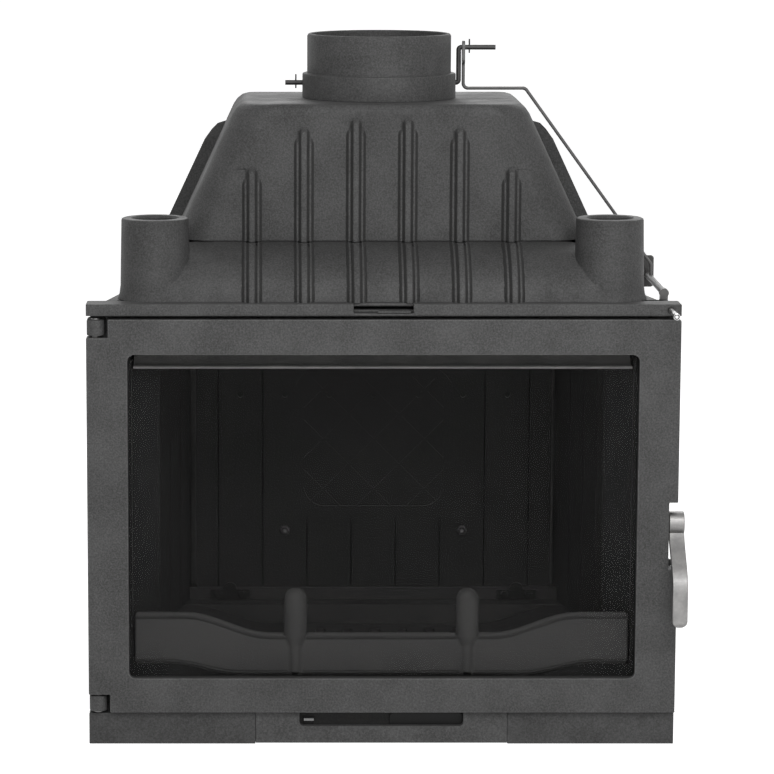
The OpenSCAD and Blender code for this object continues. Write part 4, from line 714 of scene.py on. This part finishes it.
def ring_route(half_x, z0, z1, turn, step):
    """Points and outward directions round an upright rounded rectangle, at an even step."""
    mid_z = (z0 + z1) / 2
    half_z = (z1 - z0) / 2
    corners = [(half_x - turn, half_z - turn, 0), (turn - half_x, half_z - turn, 1),
               (turn - half_x, turn - half_z, 2), (half_x - turn, turn - half_z, 3)]
    route = []
    for index, (x, z, quarter) in enumerate(corners):
        arc_steps = max(2, round(turn * math.pi / 2 / step))
        for k in range(arc_steps):
            angle = (quarter + k / arc_steps) * math.pi / 2
            out = Vector((math.cos(angle), 0, math.sin(angle)))
            route.append((Vector((x, 0, mid_z + z)) + out * turn, out))
        next_x, next_z, _ = corners[(index + 1) % 4]
        out = Vector((math.cos((quarter + 1) * math.pi / 2), 0, math.sin((quarter + 1) * math.pi / 2)))
        start = Vector((x, 0, mid_z + z)) + out * turn
        end = Vector((next_x, 0, mid_z + next_z)) + out * turn
        run_steps = max(1, round((end - start).length / step))
        route += [(start.lerp(end, k / run_steps), out) for k in range(run_steps)]
    return route


def braided_rope(name, node, body):
    """A round braid of eight strands, four each way, that pass over and under each other."""
    low, high = (Vector(corner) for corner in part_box(node))
    rope_r = (high.y - low.y) / 2
    centre_y = (high.y + low.y) / 2
    core = rope_r - STRAND_R - STRAND_LIFT
    route = ring_route(high.x - rope_r, low.z + rope_r, high.z - rope_r, ROPE_TURN, BRAID_PITCH / BRAID_STEPS)
    turns = round(len(route) / BRAID_STEPS)
    curve = bpy.data.curves.new(name, "CURVE")
    curve.dimensions = "3D"
    curve.bevel_depth = STRAND_R
    curve.bevel_resolution = 1
    for way in (1, -1):
        for quarter in range(4):
            strand = curve.splines.new("POLY")
            strand.points.add(len(route) - 1)
            strand.use_cyclic_u = True
            for k, (point, out) in enumerate(route):
                phase = math.tau * turns * k / len(route)
                angle = way * phase + quarter * math.pi / 2
                lift = core + way * STRAND_LIFT * math.cos(4 * phase)
                place = point + (out * math.cos(angle) + Vector((0, 1, 0)) * math.sin(angle)) * lift
                strand.points[k].co = (place.x, place.y + centre_y, place.z, 1)
    add_piece(name, curve, ROPE, body, node)


def woven_tape(name, node, body):
    """A flat woven tape with soft edges, laid round the glass with mitred corners."""
    low, high = (Vector(corner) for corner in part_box(node))
    bed = bmesh.new()
    corners = [(low.x, low.z), (high.x, low.z), (high.x, high.z), (low.x, high.z)]
    sheet = bed.faces.new([bed.verts.new((x, low.y, z)) for x, z in corners])
    bed.normal_update()
    bmesh.ops.inset_region(bed, faces=[sheet], thickness=GASKET_WIDTH, use_even_offset=True,
                           use_boundary=True)
    bmesh.ops.delete(bed, geom=[sheet], context="FACES")
    back = only(bmesh.types.BMVert, bmesh.ops.extrude_face_region(bed, geom=bed.faces[:])["geom"])
    bmesh.ops.translate(bed, vec=(0, high.y - low.y, 0), verts=back)
    bmesh.ops.recalc_face_normals(bed, faces=bed.faces)
    sharp = [edge for edge in bed.edges if edge.calc_face_angle(0) > CREASE]
    bmesh.ops.bevel(bed, geom=sharp, offset=GASKET_EDGE, affect="EDGES", segments=2, profile=0.5, material=-1)
    cast_piece(name, bed, TAPE, body, node)


braided_rope("rope_seal_braid", "door_rope_seal", "door")
woven_tape("glass_gasket_tape", "glass_gasket", "door")


# Studio

WORLD_LIGHT = 0.13
FLOOR_GLOW = 0.9
FLOOR_HALF = 40


def area_light(name, at, towards, size, power):
    """A soft rectangular lamp."""
    data = bpy.data.lights.new(name, "AREA")
    data.shape = "RECTANGLE"
    data.size, data.size_y = size
    data.energy = power
    lamp = put(name, data)
    lamp.location = at
    lamp.rotation_euler = (Vector(towards) - Vector(at)).to_track_quat("-Z", "Y").to_euler()


def make_floor():
    """A wide pale floor, white to the camera except where the object's shadow falls."""
    sheet = bmesh.new()
    bmesh.ops.create_grid(sheet, x_segments=1, y_segments=1, size=FLOOR_HALF)
    mesh = bpy.data.meshes.new("floor")
    sheet.to_mesh(mesh)
    sheet.free()
    floor = put("floor", mesh)
    pale = Finish("pale_floor", Base_Color=grey(0.8), Roughness=0.9, Emission_Strength=FLOOR_GLOW)
    pale.set(Emission_Color=pale.seen())
    mesh.materials.append(pale.material)


def make_world():
    """White to the camera and in reflections, dim as light."""
    world = bpy.data.worlds.new("studio")
    bpy.context.scene.world = world
    world.use_nodes = True
    world.node_tree.nodes.clear()
    sky = Graph(world.node_tree)
    dim, white = (sky.node("ShaderNodeBackground", inputs={"Color": grey(1), "Strength": strength})
                  for strength in (WORLD_LIGHT, 1.0))
    shown = sky.node("ShaderNodeMixShader", inputs=(sky.seen(), dim, white))
    sky.join(sky.tree.nodes.new("ShaderNodeOutputWorld").inputs["Surface"], shown)


make_camera()
make_floor()
make_world()
area_light("key", (0.3, -2.2, 2.0), (0, 0, 0.45), (1.8, 1.2), 37)
area_light("front", (0.3, -3.6, 1.0), (0, 0, 0.4), (2.2, 1.4), 20)
area_light("left", (-2.6, 0.6, 1.6), (0, 0, 0.45), (1.4, 1.8), 3)
area_light("right", (2.6, 0.2, 1.5), (0, 0, 0.45), (1.4, 1.8), 3)
area_light("behind", (0.3, 2.6, 2.2), (0, 0, 0.5), (2.0, 1.4), 25)
bpy.context.scene.view_settings.view_transform = "Standard"
